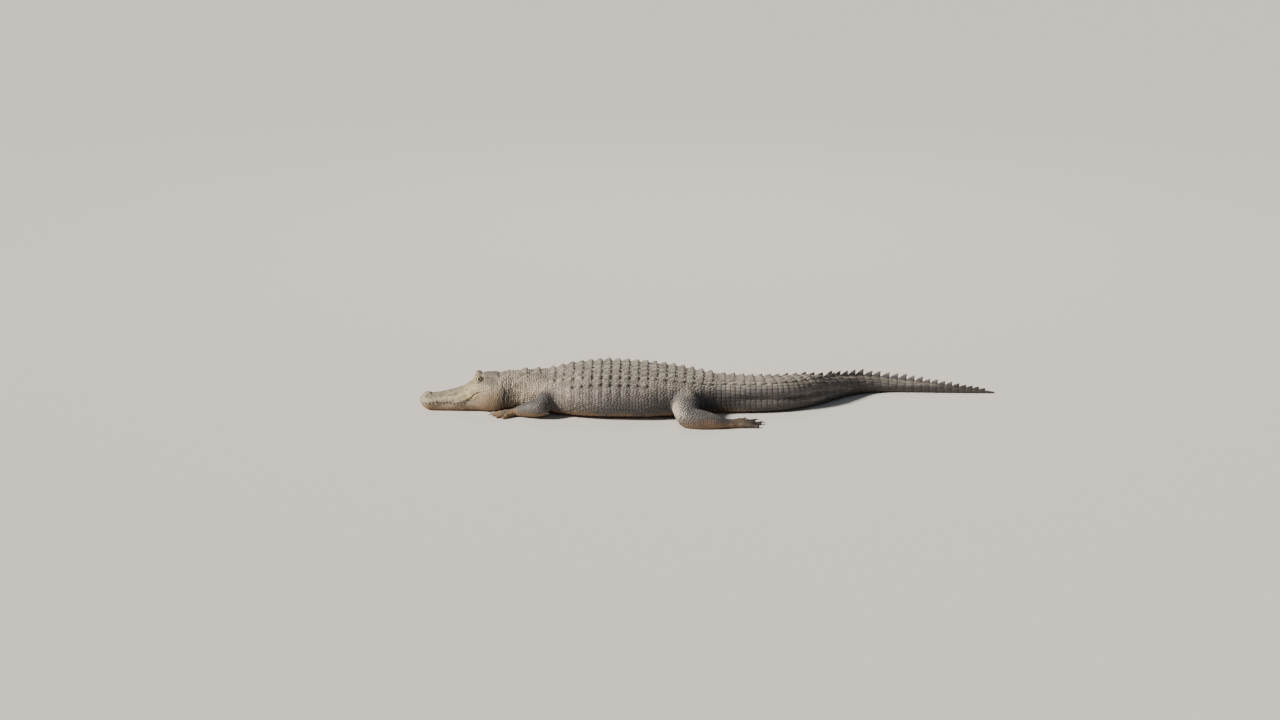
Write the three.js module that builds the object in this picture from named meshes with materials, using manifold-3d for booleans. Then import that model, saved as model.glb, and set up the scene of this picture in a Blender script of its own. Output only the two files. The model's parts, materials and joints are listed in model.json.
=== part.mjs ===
// An adult American alligator at life size, lying at rest: belly, chin and tail on the ground,
// fore limbs folded with the hands forward, the left hind limb trailing and the right one drawn up.
// Millimetres. +X runs from head to tail, +Y is the animal's right side and +Z is up.
// The ground is Z = 0 and the origin is on the flat of the belly, under the middle of the trunk.
import * as THREE from "three";
import { mergeVertices } from "three/addons/utils/BufferGeometryUtils.js";
import Module from "manifold-3d";

const { clamp, lerp, smoothstep, degToRad } = THREE.MathUtils;
const wasm = await Module();
wasm.setup();

// Driving dimensions, measured along the spine from the tip of the snout
const HEAD = 420;
const NECK = 180;
const TRUNK = 895;
const TAIL = 1505;
const GAP = 0.3;
const inHead = (share) => HEAD * share;
const inNeck = (share) => HEAD + NECK * share;
const inTrunk = (share) => HEAD + NECK + TRUNK * share;
const inTail = (share) => HEAD + NECK + TRUNK + TAIL * share;
const TAIL_TIP = inTail(1);
const ORIGIN_AT = inTrunk(0.564);
const EYE_AT = inHead(0.7);
const TABLE_FROM = inHead(0.74);
const TABLE_TO = inHead(0.93);

// Places where one node ends and the next begins
const NECK_END = inNeck(1.14);
const TAIL_ROOT = inTail(0);
const TAIL_CUTS = [inTail(0.3), inTail(0.62)];

// Cross-sections: where along the spine, half width, height of the back, height of the underside
// (below zero where it is pressed flat on the ground), height of the widest point, and how square
// the section is above and below that
const sections = [
  { at: inHead(0), half: 14, top: 60, under: 38, wide: 50, square: 2.2, below: 2.2 }, // snout tip
  { at: inHead(0.03), half: 38, top: 72, under: 16, wide: 52, square: 2.5, below: 2.5 },
  { at: inHead(0.1), half: 55, top: 77, under: 1, wide: 50, square: 2.8, below: 2.6 }, // nostrils
  { at: inHead(0.2), half: 58, top: 80, under: -3, wide: 50, square: 3, below: 2.6 }, // notch
  { at: inHead(0.36), half: 68, top: 91, under: -4, wide: 52, square: 3, below: 2.6 },
  { at: inHead(0.52), half: 76, top: 111, under: -4, wide: 60, square: 2.8, below: 2.6 },
  { at: inHead(0.61), half: 84, top: 132, under: -4, wide: 72, square: 2.7, below: 2.6 },
  { at: inHead(0.7), half: 96, top: 155, under: -4, wide: 84, square: 2.6, below: 2.6 }, // eyes
  { at: inHead(0.82), half: 117, top: 165, under: -4, wide: 92, square: 2.5, below: 2.6 }, // jowls
  { at: inHead(0.93), half: 124, top: 167, under: -2, wide: 90, square: 2.4, below: 2.5 },
  { at: inNeck(0), half: 121, top: 180, under: 3, wide: 88, square: 2.4, below: 2.4 },
  { at: inNeck(0.35), half: 117, top: 185, under: 8, wide: 92, square: 2.4, below: 2.4 },
  { at: inNeck(0.75), half: 132, top: 187, under: 4, wide: 94, square: 2.3, below: 2.4 },
  { at: inTrunk(0.06), half: 178, top: 185, under: -3, wide: 92, square: 2.4, below: 2.6 },
  { at: inTrunk(0.2), half: 224, top: 208, under: -7, wide: 94, square: 2.5, below: 2.9 },
  { at: inTrunk(0.37), half: 250, top: 219, under: -8, wide: 96, square: 2.5, below: 3 }, // highest
  { at: inTrunk(0.56), half: 256, top: 209, under: -8, wide: 95, square: 2.5, below: 3 }, // broadest
  { at: inTrunk(0.72), half: 232, top: 196, under: -8, wide: 92, square: 2.5, below: 3 },
  { at: inTrunk(0.86), half: 186, top: 179, under: -6, wide: 86, square: 2.6, below: 2.9 }, // hips
  { at: inTail(0), half: 132, top: 162, under: -4, wide: 74, square: 2.9, below: 2.9 }, // vent
  { at: inTail(0.08), half: 115, top: 156, under: -5, wide: 68, square: 3.3, below: 3.1 },
  { at: inTail(0.2), half: 99, top: 153, under: -5, wide: 62, square: 3.4, below: 3.1 },
  { at: inTail(0.3), half: 82, top: 147, under: -4, wide: 56, square: 3, below: 2.8 },
  { at: inTail(0.4), half: 62, top: 124, under: -3, wide: 50, square: 2.3, below: 2.3 },
  { at: inTail(0.52), half: 47, top: 97, under: -3, wide: 42, square: 1.9, below: 2 },
  { at: inTail(0.64), half: 35, top: 71, under: -3, wide: 34, square: 1.8, below: 1.9 },
  { at: inTail(0.76), half: 26, top: 50, under: -2, wide: 25, square: 1.8, below: 1.9 },
  { at: inTail(0.9), half: 15, top: 27, under: -2, wide: 14, square: 1.9, below: 1.9 },
  { at: inTail(1), half: 4, top: 9, under: -1, wide: 4, square: 2, below: 2 }, // tail tip
];

// Bends of the spine seen from above, in degrees over a stretch of it
const HEAD_TURN = 3;
const bends = [
  { from: inHead(1), to: inTrunk(0.3), turn: -3.5 },
  { from: inTrunk(0.4), to: inTrunk(0.9), turn: -1.5 },
  { from: inTail(0.06), to: inTail(0.42), turn: 41 },
  { from: inTail(0.42), to: inTail(0.7), turn: -43 },
];

// The line of the mouth, seen from the side
const mouthLine = [
  { at: inHead(-0.05), rise: 44 },
  { at: inHead(0.07), rise: 44 },
  { at: inHead(0.2), rise: 50 },
  { at: inHead(0.33), rise: 51 },
  { at: inHead(0.43), rise: 45 },
  { at: inHead(0.52), rise: 58 },
  { at: inHead(0.6), rise: 79 },
  { at: inHead(0.68), rise: 104 },
  { at: inHead(0.8), rise: 116 }, // corner of the mouth
  { at: inHead(1.02), rise: 122 },
];
const LIP_OVERHANG = 7;
const LIP_ENDS = inHead(0.79);

// Measures a named size between the stations of a list, without overshoot.
function between(stations, key, at) {
  const last = stations.length - 1;
  const x = clamp(at, stations[0].at, stations[last].at);
  const i = clamp(stations.findIndex((station) => station.at > x) - 1, 0, last - 1);
  const n = x >= stations[last].at ? last - 1 : i;
  const rise = (k) =>
    (stations[k + 1][key] - stations[k][key]) / (stations[k + 1].at - stations[k].at);
  const slope = (k) => {
    if (k === 0) return rise(0);
    if (k === last) return rise(last - 1);
    const [before, after] = [rise(k - 1), rise(k)];
    return before * after <= 0 ? 0 : (2 * before * after) / (before + after);
  };
  const span = stations[n + 1].at - stations[n].at;
  const t = (x - stations[n].at) / span;
  const [a, b] = [stations[n][key], stations[n + 1][key]];
  const [ma, mb] = [slope(n) * span, slope(n + 1) * span];
  const [t2, t3] = [t * t, t * t * t];
  return (
    a * (2 * t3 - 3 * t2 + 1) + ma * (t3 - 2 * t2 + t) + b * (3 * t2 - 2 * t3) + mb * (t3 - t2)
  );
}

const UP = new THREE.Vector3(0, 0, 1);
const bump = (x, centre, reach) => Math.exp(-(((x - centre) / reach) ** 2));
const plateau = (x, from, to, edge) =>
  smoothstep(x, from - edge, from + edge) * (1 - smoothstep(x, to - edge, to + edge));

// The spine as points 5 mm apart, each with its heading, laid so that ORIGIN_AT is at x = y = 0
const SPINE_STEP = 5;
const spinePoints = [];
const headingAt = (at) =>
  degToRad(
    bends.reduce((sum, bend) => sum + bend.turn * smoothstep(at, bend.from, bend.to), HEAD_TURN),
  );
for (let at = 0, x = 0, y = 0; at <= TAIL_TIP; at += SPINE_STEP) {
  spinePoints.push({ at, x, y, heading: headingAt(at) });
  const middle = headingAt(at + SPINE_STEP / 2);
  x += SPINE_STEP * Math.cos(middle);
  y += SPINE_STEP * Math.sin(middle);
}
const originPoint = spinePoints[Math.round(ORIGIN_AT / SPINE_STEP)];
const spineOrigin = { x: originPoint.x, y: originPoint.y };
for (const point of spinePoints) {
  point.x -= spineOrigin.x;
  point.y -= spineOrigin.y;
}

// A point given by its distance along the spine, how far to the right of it and how high
function beside(at, right, up) {
  const place = clamp(at, 0, TAIL_TIP) / SPINE_STEP;
  const n = Math.min(Math.floor(place), spinePoints.length - 2);
  const [a, b] = [spinePoints[n], spinePoints[n + 1]];
  const t = place - n;
  const heading = lerp(a.heading, b.heading, t);
  return new THREE.Vector3(
    lerp(a.x, b.x, t) - right * Math.sin(heading),
    lerp(a.y, b.y, t) + right * Math.cos(heading),
    up,
  );
}

// A direction given along the spine, to the right of it and up
function heading(at, along, right, up) {
  const turn = headingAt(clamp(at, 0, TAIL_TIP));
  return new THREE.Vector3(
    along * Math.cos(turn) - right * Math.sin(turn),
    along * Math.sin(turn) + right * Math.cos(turn),
    up,
  );
}

// What rises from the plain section on top of the head: the skull table, brows and nostril boss
const TABLE_HALF = 48;
const TABLE_RISE = 16;
const TABLE_SLOPE = 22;
const BROW_SIDE = 41;
const BROW_RISE = 27;
function crown(at, side) {
  const table =
    TABLE_RISE *
    smoothstep(at, TABLE_FROM - 7, TABLE_FROM + 7) *
    (1 - smoothstep(at, TABLE_TO - 8, TABLE_TO + TABLE_SLOPE)) *
    (1 - smoothstep(side, TABLE_HALF - 2, TABLE_HALF + 9));
  const brow = BROW_RISE * bump(at, EYE_AT - 2, 27) * bump(side, BROW_SIDE, 19);
  const dip = -6 * bump(at, EYE_AT, 30) * bump(side, 0, 17);
  const boss = 8 * plateau(at, 18, 56, 9) * (1 - smoothstep(side, 18, 36));
  return Math.max(table, brow) + dip + boss;
}

// How deep the fold along the side of the tail cuts in, as a share of the half width
const FOLD_DEPTH = 0.13;
const FOLD_HEIGHT = 0.5;
function tailFold(at, height, top) {
  const reach = plateau(at, inTail(0.06), inTail(0.42), 60);
  return 1 - FOLD_DEPTH * reach * bump(height, FOLD_HEIGHT * top, 0.1 * top);
}

// Half of one section as points from the middle of the back down to the middle of the belly,
// each with its distance round the skin. grow makes it thicker, for cutting a clearance.
const SECTION_STEPS = 72;
const sectionCache = new Map();
function halfSection(at, grow = 0, lip = 0) {
  const key = `${at.toFixed(3)} ${grow} ${lip}`;
  if (sectionCache.has(key)) return sectionCache.get(key);
  const half = between(sections, "half", at) + grow - lip;
  const top = between(sections, "top", at) + grow;
  const under = between(sections, "under", at) - grow;
  const wide = between(sections, "wide", at);
  const power = 2 / between(sections, "square", at);
  const powerBelow = 2 / between(sections, "below", at);
  const points = [];
  let around = 0;
  for (let n = 0; n <= SECTION_STEPS; n++) {
    const angle = Math.PI * (0.5 - n / SECTION_STEPS);
    const [c, s] = [Math.abs(Math.cos(angle)), Math.sin(angle)];
    const [reach, bow] = s > 0 ? [top - wide, power] : [wide - under, powerBelow];
    let side = half * c ** bow;
    let height = wide + Math.sign(s) * reach * Math.abs(s) ** bow;
    if (at < HEAD && s > 0) height += crown(at, side) * s ** 0.5;
    side *= tailFold(at, height, top);
    if (n) around += Math.hypot(side - points[n - 1].side, height - points[n - 1].height);
    points.push({ side, height, around });
  }
  sectionCache.set(key, points);
  return points;
}

// A point of the skin: side is -1 left or 1 right, around the distance from the middle of the back
function skin(at, side, around, grow = 0, lip = 0) {
  const points = halfSection(at, grow, lip);
  const girth = points[points.length - 1].around;
  const reach = clamp(around, 0, girth);
  const n = clamp(points.findIndex((point) => point.around >= reach), 1, points.length - 1);
  const [a, b] = [points[n - 1], points[n]];
  const t = (reach - a.around) / Math.max(b.around - a.around, 1e-6);
  return beside(at, side * lerp(a.side, b.side, t), lerp(a.height, b.height, t));
}

// Moves every vertex of a closed shape and keeps only its positions, merged.
function shaped(geometry, place) {
  const bare = geometry.clone();
  bare.deleteAttribute("normal");
  bare.deleteAttribute("uv");
  const positions = bare.getAttribute("position");
  const vertex = new THREE.Vector3();
  for (let n = 0; n < positions.count; n++) {
    vertex.fromBufferAttribute(positions, n);
    const moved = place(vertex);
    positions.setXYZ(n, moved.x, moved.y, moved.z);
  }
  return mergeVertices(bare, 1e-3);
}

// A closed geometry as a solid with its faces turned outwards
function solid(geometry) {
  const vertProperties = geometry.getAttribute("position").array;
  const triVerts = new Uint32Array(geometry.index.array);
  const corner = (n) => new THREE.Vector3().fromArray(vertProperties, 3 * triVerts[n]);
  let volume = 0;
  for (let n = 0; n < triVerts.length; n += 3) {
    volume += corner(n).dot(corner(n + 1).cross(corner(n + 2)));
  }
  for (let n = 0; volume < 0 && n < triVerts.length; n += 3) {
    [triVerts[n + 1], triVerts[n + 2]] = [triVerts[n + 2], triVerts[n + 1]];
  }
  return new wasm.Manifold(new wasm.Mesh({ numProp: 3, vertProperties, triVerts }));
}

const unite = (solids) => wasm.Manifold.union(solids);
const largest = (body) => body.decompose().sort((a, b) => b.volume() - a.volume())[0];
const onGround = (body) => body.trimByPlane([0, 0, 1], 0);

// Both sides of a cut across the spine, each kept half a gap clear of it
function partAcross(body, at) {
  const normal = heading(at, 1, 0, 0);
  const offset = normal.dot(beside(at, 0, 0));
  const before = body.trimByPlane(normal.clone().negate().toArray(), GAP / 2 - offset);
  const after = body.trimByPlane(normal.toArray(), offset + GAP / 2);
  return [before, after];
}

// A stretch of the body: a cylinder drawn over the sections from one distance to another.
// lipAt gives how much narrower it is on each side.
function stretch(from, to, { around, along, grow = 0, lipAt = () => 0, ends = 1 }) {
  const tube = new THREE.CylinderGeometry(1, 1, 1, around, along);
  return solid(
    shaped(tube, ({ x, y, z }) => {
      const share = 0.5 - y;
      const at = lerp(from, to, share ** ends);
      const lip = lipAt(at);
      const turn = Math.atan2(x, z) / Math.PI;
      const girth = halfSection(at, grow, lip).at(-1).around;
      const rim = skin(at, Math.sign(turn) || 1, Math.abs(turn) * girth, grow, lip);
      const middle = beside(at, 0, between(sections, "wide", at));
      return middle.lerp(rim, Math.min(1, Math.hypot(x, z)));
    }),
  );
}

// A ball drawn out from one point to another. wide and deep give its half thickness at the
// start, the middle and the end, across and upwards.
function drawn(from, to, { wide, deep = wide, round = 8, steps = 3 }) {
  const forward = to.clone().sub(from);
  const length = forward.length();
  forward.normalize();
  const across = new THREE.Vector3().crossVectors(forward, UP).normalize();
  const up = new THREE.Vector3().crossVectors(across, forward);
  const at = ([a, m, b], t) => a * (1 - t) * (1 - 2 * t) + 4 * m * t * (1 - t) + b * t * (2 * t - 1);
  const capsule = new THREE.CapsuleGeometry(1, 1, 2, round, steps);
  return solid(
    shaped(capsule, ({ x, y, z }) => {
      const t = clamp(y + 0.5, 0, 1);
      const cap = y + 0.5 - t;
      const end = Math.min(at(wide, t), at(deep, t));
      return from
        .clone()
        .addScaledVector(forward, t * length + cap * end)
        .addScaledVector(across, x * at(wide, t))
        .addScaledVector(up, z * at(deep, t));
    }),
  );
}

// A repeatable source of small differences between like pieces
function seeded(seed) {
  let state = seed;
  return () => {
    state = (state * 1664525 + 1013904223) % 4294967296;
    return state / 4294967296;
  };
}
const random = seeded(7);
const vary = (size, share) => size * (1 + share * (2 * random() - 1));

// One keeled plate of the armour. Its ridge rises along the middle to a peak near the rear, and
// its rim follows the skin and is sunk in it. Low plates are six-sided and upright ones
// four-sided; ridge is the length of a blunt top, as a share of the plate.
const PLATE_ROOT = 5;
const PEAK_SET_BACK = 0.16;
const towards = (share) => (Math.abs(share) < 0.1 ? 0 : Math.sign(share));
function plate(at, side, around, { length, width, peak, sides = 6, lean = 0, ridge = 0 }) {
  const core = beside(at, 0, between(sections, "wide", at));
  const onSkin = (along, across) => {
    const reach = around + across;
    return skin(at + along, reach < 0 ? -side : side, Math.abs(reach));
  };
  const base = onSkin(0, 0);
  const forward = onSkin(6, 0).sub(onSkin(-6, 0)).normalize();
  const out = forward.clone().cross(onSkin(0, 5).sub(onSkin(0, -5))).normalize();
  if (out.dot(base.clone().sub(core)) < 0) out.negate();
  if (lean) out.lerp(UP, lean).normalize();
  const high = vary(peak, 0.12);
  const spread = (high + PLATE_ROOT) / high;
  const long = vary(length, 0.05) * spread;
  const broad = vary(width, 0.06) * spread;
  const block = ridge
    ? new THREE.CylinderGeometry(1, 1, 1, sides, 1)
    : new THREE.ConeGeometry(1, 1, sides, 1);
  return solid(
    shaped(block, ({ x, y, z }) => {
      const ahead = towards(z);
      const aside = towards(x);
      if (y > 0) {
        const along = length * (PEAK_SET_BACK + 0.5 * ridge * ahead * (aside ? 0.6 : 1));
        return onSkin(along, 0.16 * ridge * width * aside).addScaledVector(out, high);
      }
      const reach = sides === 6 && aside ? 0.36 : 0.5;
      const rim = onSkin(long * ahead * reach, 0.5 * broad * aside);
      return rim.add(core.clone().sub(rim).setLength(PLATE_ROOT));
    }),
  );
}

// The armour of the back: cross rows of plates from the shoulders to the root of the tail
const ROW_PITCH = 46.5;
const columnWidths = [
  { at: inTrunk(0), width: 38 },
  { at: inTrunk(0.2), width: 59 },
  { at: inTrunk(0.5), width: 62 },
  { at: inTrunk(0.72), width: 57 },
  { at: inTrunk(1), width: 38 },
];
function backPlates() {
  const plates = [];
  const first = inTrunk(0.045);
  const rows = Math.round((TAIL_ROOT - first) / ROW_PITCH);
  for (let row = 0; row < rows; row++) {
    const at = first + (row + 0.5) * ROW_PITCH;
    const perSide = at > inTrunk(0.13) && at < inTrunk(0.64) ? 4 : 3;
    const spacing = between(columnWidths, "width", at);
    for (let column = 0; column < perSide; column++) {
      const outer = column === perSide - 1;
      for (const side of [-1, 1]) {
        plates.push(
          plate(at, side, (column + 0.5) * spacing, {
            length: ROW_PITCH * (outer ? 0.72 : 0.95),
            width: spacing * (outer ? 0.55 : 0.95),
            peak: outer ? 12 : 9,
            sides: outer ? 4 : 6,
          }),
        );
      }
    }
  }
  return plates;
}

// The large plates of the nape, and the small ones just behind the skull
const napePlates = [
  { at: inNeck(0.12), around: 13, length: 22, width: 22, peak: 7 },
  { at: inNeck(0.13), around: 39, length: 22, width: 22, peak: 7 },
  { at: inNeck(0.56), around: 24, length: 50, width: 44, peak: 15, ridge: 0.5 },
  { at: inNeck(0.6), around: 68, length: 36, width: 32, peak: 10 },
  { at: inNeck(0.92), around: 23, length: 50, width: 44, peak: 16, ridge: 0.5 },
];
function neckPlates() {
  return napePlates.flatMap(({ at, around, ...sizes }) =>
    [-1, 1].map((side) => plate(at, side, around, sizes)),
  );
}

// The tail's crest: two rows of upright scutes that draw together, then a single taller row
const CREST_JOINS = inTail(0.43);
const crest = [
  { at: inTail(-0.02), side: 92, height: 11, width: 20, pitch: 47 },
  { at: inTail(0.14), side: 74, height: 11, width: 18, pitch: 49 },
  { at: inTail(0.28), side: 48, height: 14, width: 15, pitch: 51 },
  { at: inTail(0.38), side: 22, height: 20, width: 13, pitch: 50 },
  { at: inTail(0.45), side: 0, height: 28, width: 12, pitch: 48 },
  { at: inTail(0.62), side: 0, height: 33, width: 10, pitch: 45 },
  { at: inTail(0.8), side: 0, height: 24, width: 8, pitch: 38 },
  { at: inTail(1), side: 0, height: 9, width: 6, pitch: 30 },
];
function crestPlates() {
  const plates = [];
  for (let at = inTail(0.014); at < inTail(0.98); at += between(crest, "pitch", at)) {
    const single = at > CREST_JOINS;
    const pitch = between(crest, "pitch", at);
    const away = between(crest, "side", at);
    const blade = {
      length: pitch * lerp(0.9, 1.25, smoothstep(at, inTail(0.2), inTail(0.5))),
      width: between(crest, "width", at),
      peak: between(crest, "height", at),
      sides: 4,
      lean: 0.75,
    };
    for (const side of single ? [1] : [-1, 1]) {
      plates.push(plate(at, side, single ? 0 : away, blade));
    }
    const inner = Math.floor((away - 12) / 27);
    const flat = { length: pitch * 0.9, width: 28, peak: 7, sides: 4 };
    for (let column = 0; column < inner; column++) {
      for (const side of [-1, 1]) {
        plates.push(plate(at, side, (away * (column + 0.5)) / (inner + 0.4), flat));
      }
    }
  }
  return plates;
}

// Neck, trunk and tail are modelled whole, with their armour, and then parted with thin cuts
const bodySteps = { around: 20, along: 54 };
const armour = [...neckPlates(), ...backPlates(), ...crestPlates()];
const bodyTube = stretch(inNeck(0) + GAP, TAIL_TIP, bodySteps);
const wholeBody = onGround(unite([bodyTube, ...armour]).simplify(0.25));
const [neck, behindNeck] = partAcross(wholeBody, NECK_END);
const [torso, wholeTail] = partAcross(behindNeck, TAIL_ROOT);
const [tailBase, behindBase] = partAcross(wholeTail, TAIL_CUTS[0]);
const [tailMiddle, tailEnd] = partAcross(behindBase, TAIL_CUTS[1]);

// What is above or below the line of the mouth, as a slab right across the head
const SLAB_REACH = 220;
const SLAB_TOP = 320;
const SLAB_BOTTOM = -60;
const MOUTH_STEP = 12;
function mouthSlab(above) {
  const outline = new THREE.Shape();
  const from = mouthLine[0].at;
  const to = mouthLine.at(-1).at;
  const far = above ? SLAB_TOP : SLAB_BOTTOM;
  const clear = above ? GAP / 2 : -GAP / 2;
  outline.moveTo(from, far);
  for (let at = from; at <= to; at += MOUTH_STEP) {
    outline.lineTo(at, between(mouthLine, "rise", at) + clear);
  }
  outline.lineTo(to, far);
  const slab = new THREE.ExtrudeGeometry(outline, { depth: 2 * SLAB_REACH, bevelEnabled: false });
  return solid(
    shaped(slab, ({ x, y, z }) => beside(0, 0, 0).add(heading(0, x, z - SLAB_REACH, y))),
  );
}

// The eye, and the rim of lid round it, set in the side of the brow
const EYE_SIZE = 15;
const LID_SIZE = 4;
const LID_RING = { out: 11.5, long: 16.5, above: 11, below: 9 };
function eyeFrame(side) {
  return {
    centre: beside(EYE_AT + 2, side * 45, 163),
    out: heading(EYE_AT, -0.22, side, 0.3).normalize(),
    along: heading(EYE_AT, 1, side * 0.22, 0).normalize(),
  };
}
function eyeball(side, grow = 0) {
  const { centre } = eyeFrame(side);
  const ball = new THREE.SphereGeometry(EYE_SIZE + grow, 10, 8);
  return solid(shaped(ball, (vertex) => vertex.clone().add(centre)));
}
function lids(side) {
  const { centre, out, along } = eyeFrame(side);
  const over = new THREE.Vector3().crossVectors(along, out).normalize();
  if (over.z < 0) over.negate();
  const ring = new THREE.TorusGeometry(1, LID_SIZE / LID_RING.long, 4, 12);
  return solid(
    shaped(ring, ({ x, y, z }) =>
      centre
        .clone()
        .addScaledVector(out, LID_RING.out + EYE_SIZE * z)
        .addScaledVector(along, LID_RING.long * x)
        .addScaledVector(over, (y > 0 ? LID_RING.above : LID_RING.below) * y),
    ),
  );
}

// A lens-shaped body, for cutting an ear slit or a nostril and for the web of a foot
const EAR_SLIT = [24, 9, 2.6];
const NOSTRIL = [8, 7, 3.5];
function lens(centre, along, out, [long, deep, thin]) {
  const up = new THREE.Vector3().crossVectors(along, out).normalize();
  const ball = new THREE.SphereGeometry(1, 8, 4);
  return solid(
    shaped(ball, ({ x, y, z }) =>
      centre
        .clone()
        .addScaledVector(along, long * x)
        .addScaledVector(out, deep * y)
        .addScaledVector(up, thin * z),
    ),
  );
}
function earSlit(side) {
  const at = inHead(0.82);
  return lens(
    beside(at, side * (TABLE_HALF + 7), 167),
    heading(at, 1, 0, 0),
    heading(at, 0, side, 0.15).normalize(),
    EAR_SLIT,
  );
}
function nostril(side) {
  const at = inHead(0.078);
  return lens(
    beside(at, side * 13, 86),
    heading(at, 0.8, side * 0.6, 0).normalize(),
    heading(at, 0, 0, 1),
    NOSTRIL,
  );
}

// The upper teeth, which lie outside the closed lower jaw
const TEETH_PER_SIDE = 14;
const TOOTH_ROW = [inHead(0.035), inHead(0.62)];
const TOOTH_ROOT = 6;
const TOOTH_LENGTHS = [5, 12];
const TOOTH_SIZES = [2.7, 3.4];
function lipPoint(at, side, inset) {
  const half = between(sections, "half", at) - inset;
  return beside(at, side * half, between(mouthLine, "rise", at));
}
function teeth() {
  const made = [];
  for (let n = 0; n < TEETH_PER_SIDE; n++) {
    const at = lerp(...TOOTH_ROW, (n + 0.5) / TEETH_PER_SIDE);
    const big = Math.max(bump(at, inHead(0.4), 36), 0.9 * bump(at, inHead(0.15), 26));
    const length = lerp(...TOOTH_LENGTHS, big);
    for (const side of [-1, 1]) {
      const root = lipPoint(at, side, LIP_OVERHANG / 2 - 0.4);
      const cone = new THREE.ConeGeometry(lerp(...TOOTH_SIZES, big), length + TOOTH_ROOT, 4, 1);
      const middle = (TOOTH_ROOT - length) / 2;
      made.push(
        solid(shaped(cone, ({ x, y, z }) => root.clone().add({ x, y: z, z: middle - y }))),
      );
    }
  }
  return made;
}

const upperSteps = { around: 26, along: 30, ends: 1.2 };
const upperHead = stretch(0, HEAD - GAP, upperSteps).intersect(mouthSlab(true));
const bothSides = (shape, ...more) => [shape(-1, ...more), shape(1, ...more)];
const hollows = [...bothSides(eyeball, GAP), ...bothSides(earSlit), ...bothSides(nostril)];
const skull = unite([upperHead, ...bothSides(lids), ...teeth()]).subtract(unite(hollows));

// The lower jaw is narrower than the upper as far back as the corner of the mouth
const lowerSteps = {
  around: 20,
  along: 20,
  ends: 1.2,
  lipAt: (at) => LIP_OVERHANG * (1 - smoothstep(at, inHead(0.66), LIP_ENDS)),
};
const jaw = stretch(LIP_OVERHANG, HEAD - GAP, lowerSteps);
const lowerJaw = onGround(jaw.intersect(mouthSlab(false)));

// Hands and feet. Each toe gives its turn from straight ahead, outwards, and its reach.
const hand = {
  palm: { reach: 64, wide: [24, 37, 34], deep: [17, 14, 9] },
  toes: [
    { turn: -36, reach: 88, claw: 20 },
    { turn: -17, reach: 104, claw: 22 },
    { turn: 2, reach: 110, claw: 22 },
    { turn: 21, reach: 100, claw: 0 },
    { turn: 42, reach: 80, claw: 0 },
  ],
  thick: 9,
};
const foot = {
  palm: { reach: 104, wide: [27, 38, 40], deep: [22, 17, 11] },
  toes: [
    { turn: -24, reach: 152, claw: 24 },
    { turn: -8, reach: 178, claw: 26 },
    { turn: 8, reach: 186, claw: 24 },
    { turn: 25, reach: 166, claw: 0 },
  ],
  thick: 10,
  web: { centre: 108, long: 44, wide: 52 },
};

// The limbs, each by the places of its joints: distance along the spine, out from it, and height.
// ahead is the direction of the hand or foot in degrees, from headwards turned outwards, and
// sole is -1 where the sole faces down and 1 where the foot trails with its sole up.
const armSizes = {
  upper: { wide: [54, 48, 42], deep: [52, 46, 41] },
  lower: { wide: [42, 38, 25], deep: [41, 35, 20] },
  end: hand,
};
const legSizes = {
  upper: { wide: [74, 68, 55], deep: [58, 58, 48] },
  lower: { wide: [50, 47, 30], deep: [46, 43, 24] },
  end: foot,
};
const limbs = [
  {
    name: "left_fore",
    side: -1,
    joints: [[652, 116, 106], [608, 196, 58], [478, 146, 22]],
    ahead: -1,
    sole: -1,
    ...armSizes,
  },
  {
    name: "right_fore",
    side: 1,
    joints: [[640, 118, 108], [640, 232, 56], [508, 240, 22]],
    ahead: 24,
    sole: -1,
    ...armSizes,
  },
  {
    name: "left_hind",
    side: -1,
    joints: [[1322, 112, 100], [1352, 332, 47], [1528, 338, 24]],
    ahead: 206,
    sole: 1,
    ...legSizes,
  },
  {
    name: "right_hind",
    side: 1,
    joints: [[1345, 112, 100], [1272, 290, 70], [1405, 338, 25]],
    ahead: 62,
    sole: -1,
    ...legSizes,
  },
];

// A toe from the palm to its tip, thicker by grow for cutting the claw to it
function toe(base, aheadAt, { turn, reach }, end, grow = 0) {
  const ahead = aheadAt(turn);
  const from = base.clone().addScaledVector(ahead, end.palm.reach * 0.55);
  from.z = lerp(base.z, end.thick, 0.7);
  const to = base.clone().addScaledVector(ahead, reach);
  to.z = end.thick - 2.5;
  const size = end.thick + grow;
  return drawn(from, to, { wide: [size + 1, size, size - 2], round: 6, steps: 1 });
}

// A claw, from its root in the toe to its tip, curling to the side of the sole
const CLAW_SIZE = 5.2;
const CLAW_ROOT = 14;
const CLAW_CURL = 7;
function claw(base, aheadAt, { turn, reach, claw: length }, end, sole) {
  const ahead = aheadAt(turn);
  const start = base.clone().addScaledVector(ahead, reach - 6);
  start.z = end.thick - 1;
  const whole = length + CLAW_ROOT;
  const cone = new THREE.ConeGeometry(CLAW_SIZE, whole, 5, 2);
  return solid(
    shaped(cone, ({ x, y, z }) => {
      const t = y / whole + 0.5;
      const curl = sole * CLAW_CURL * t * t;
      return start
        .clone()
        .addScaledVector(ahead, t * whole)
        .addScaledVector(aheadAt(turn + 90), z)
        .add({ x: 0, y: 0, z: x + 1.5 + curl });
    }),
  );
}

// Material of each kind of part
const hide = new THREE.MeshStandardMaterial({ color: 0x6b6258, roughness: 0.75, metalness: 0 });
const horn = new THREE.MeshStandardMaterial({ color: 0x2c2823, roughness: 0.45, metalness: 0 });
const eye = new THREE.MeshStandardMaterial({ color: 0x8a7434, roughness: 0.12, metalness: 0 });

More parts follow.
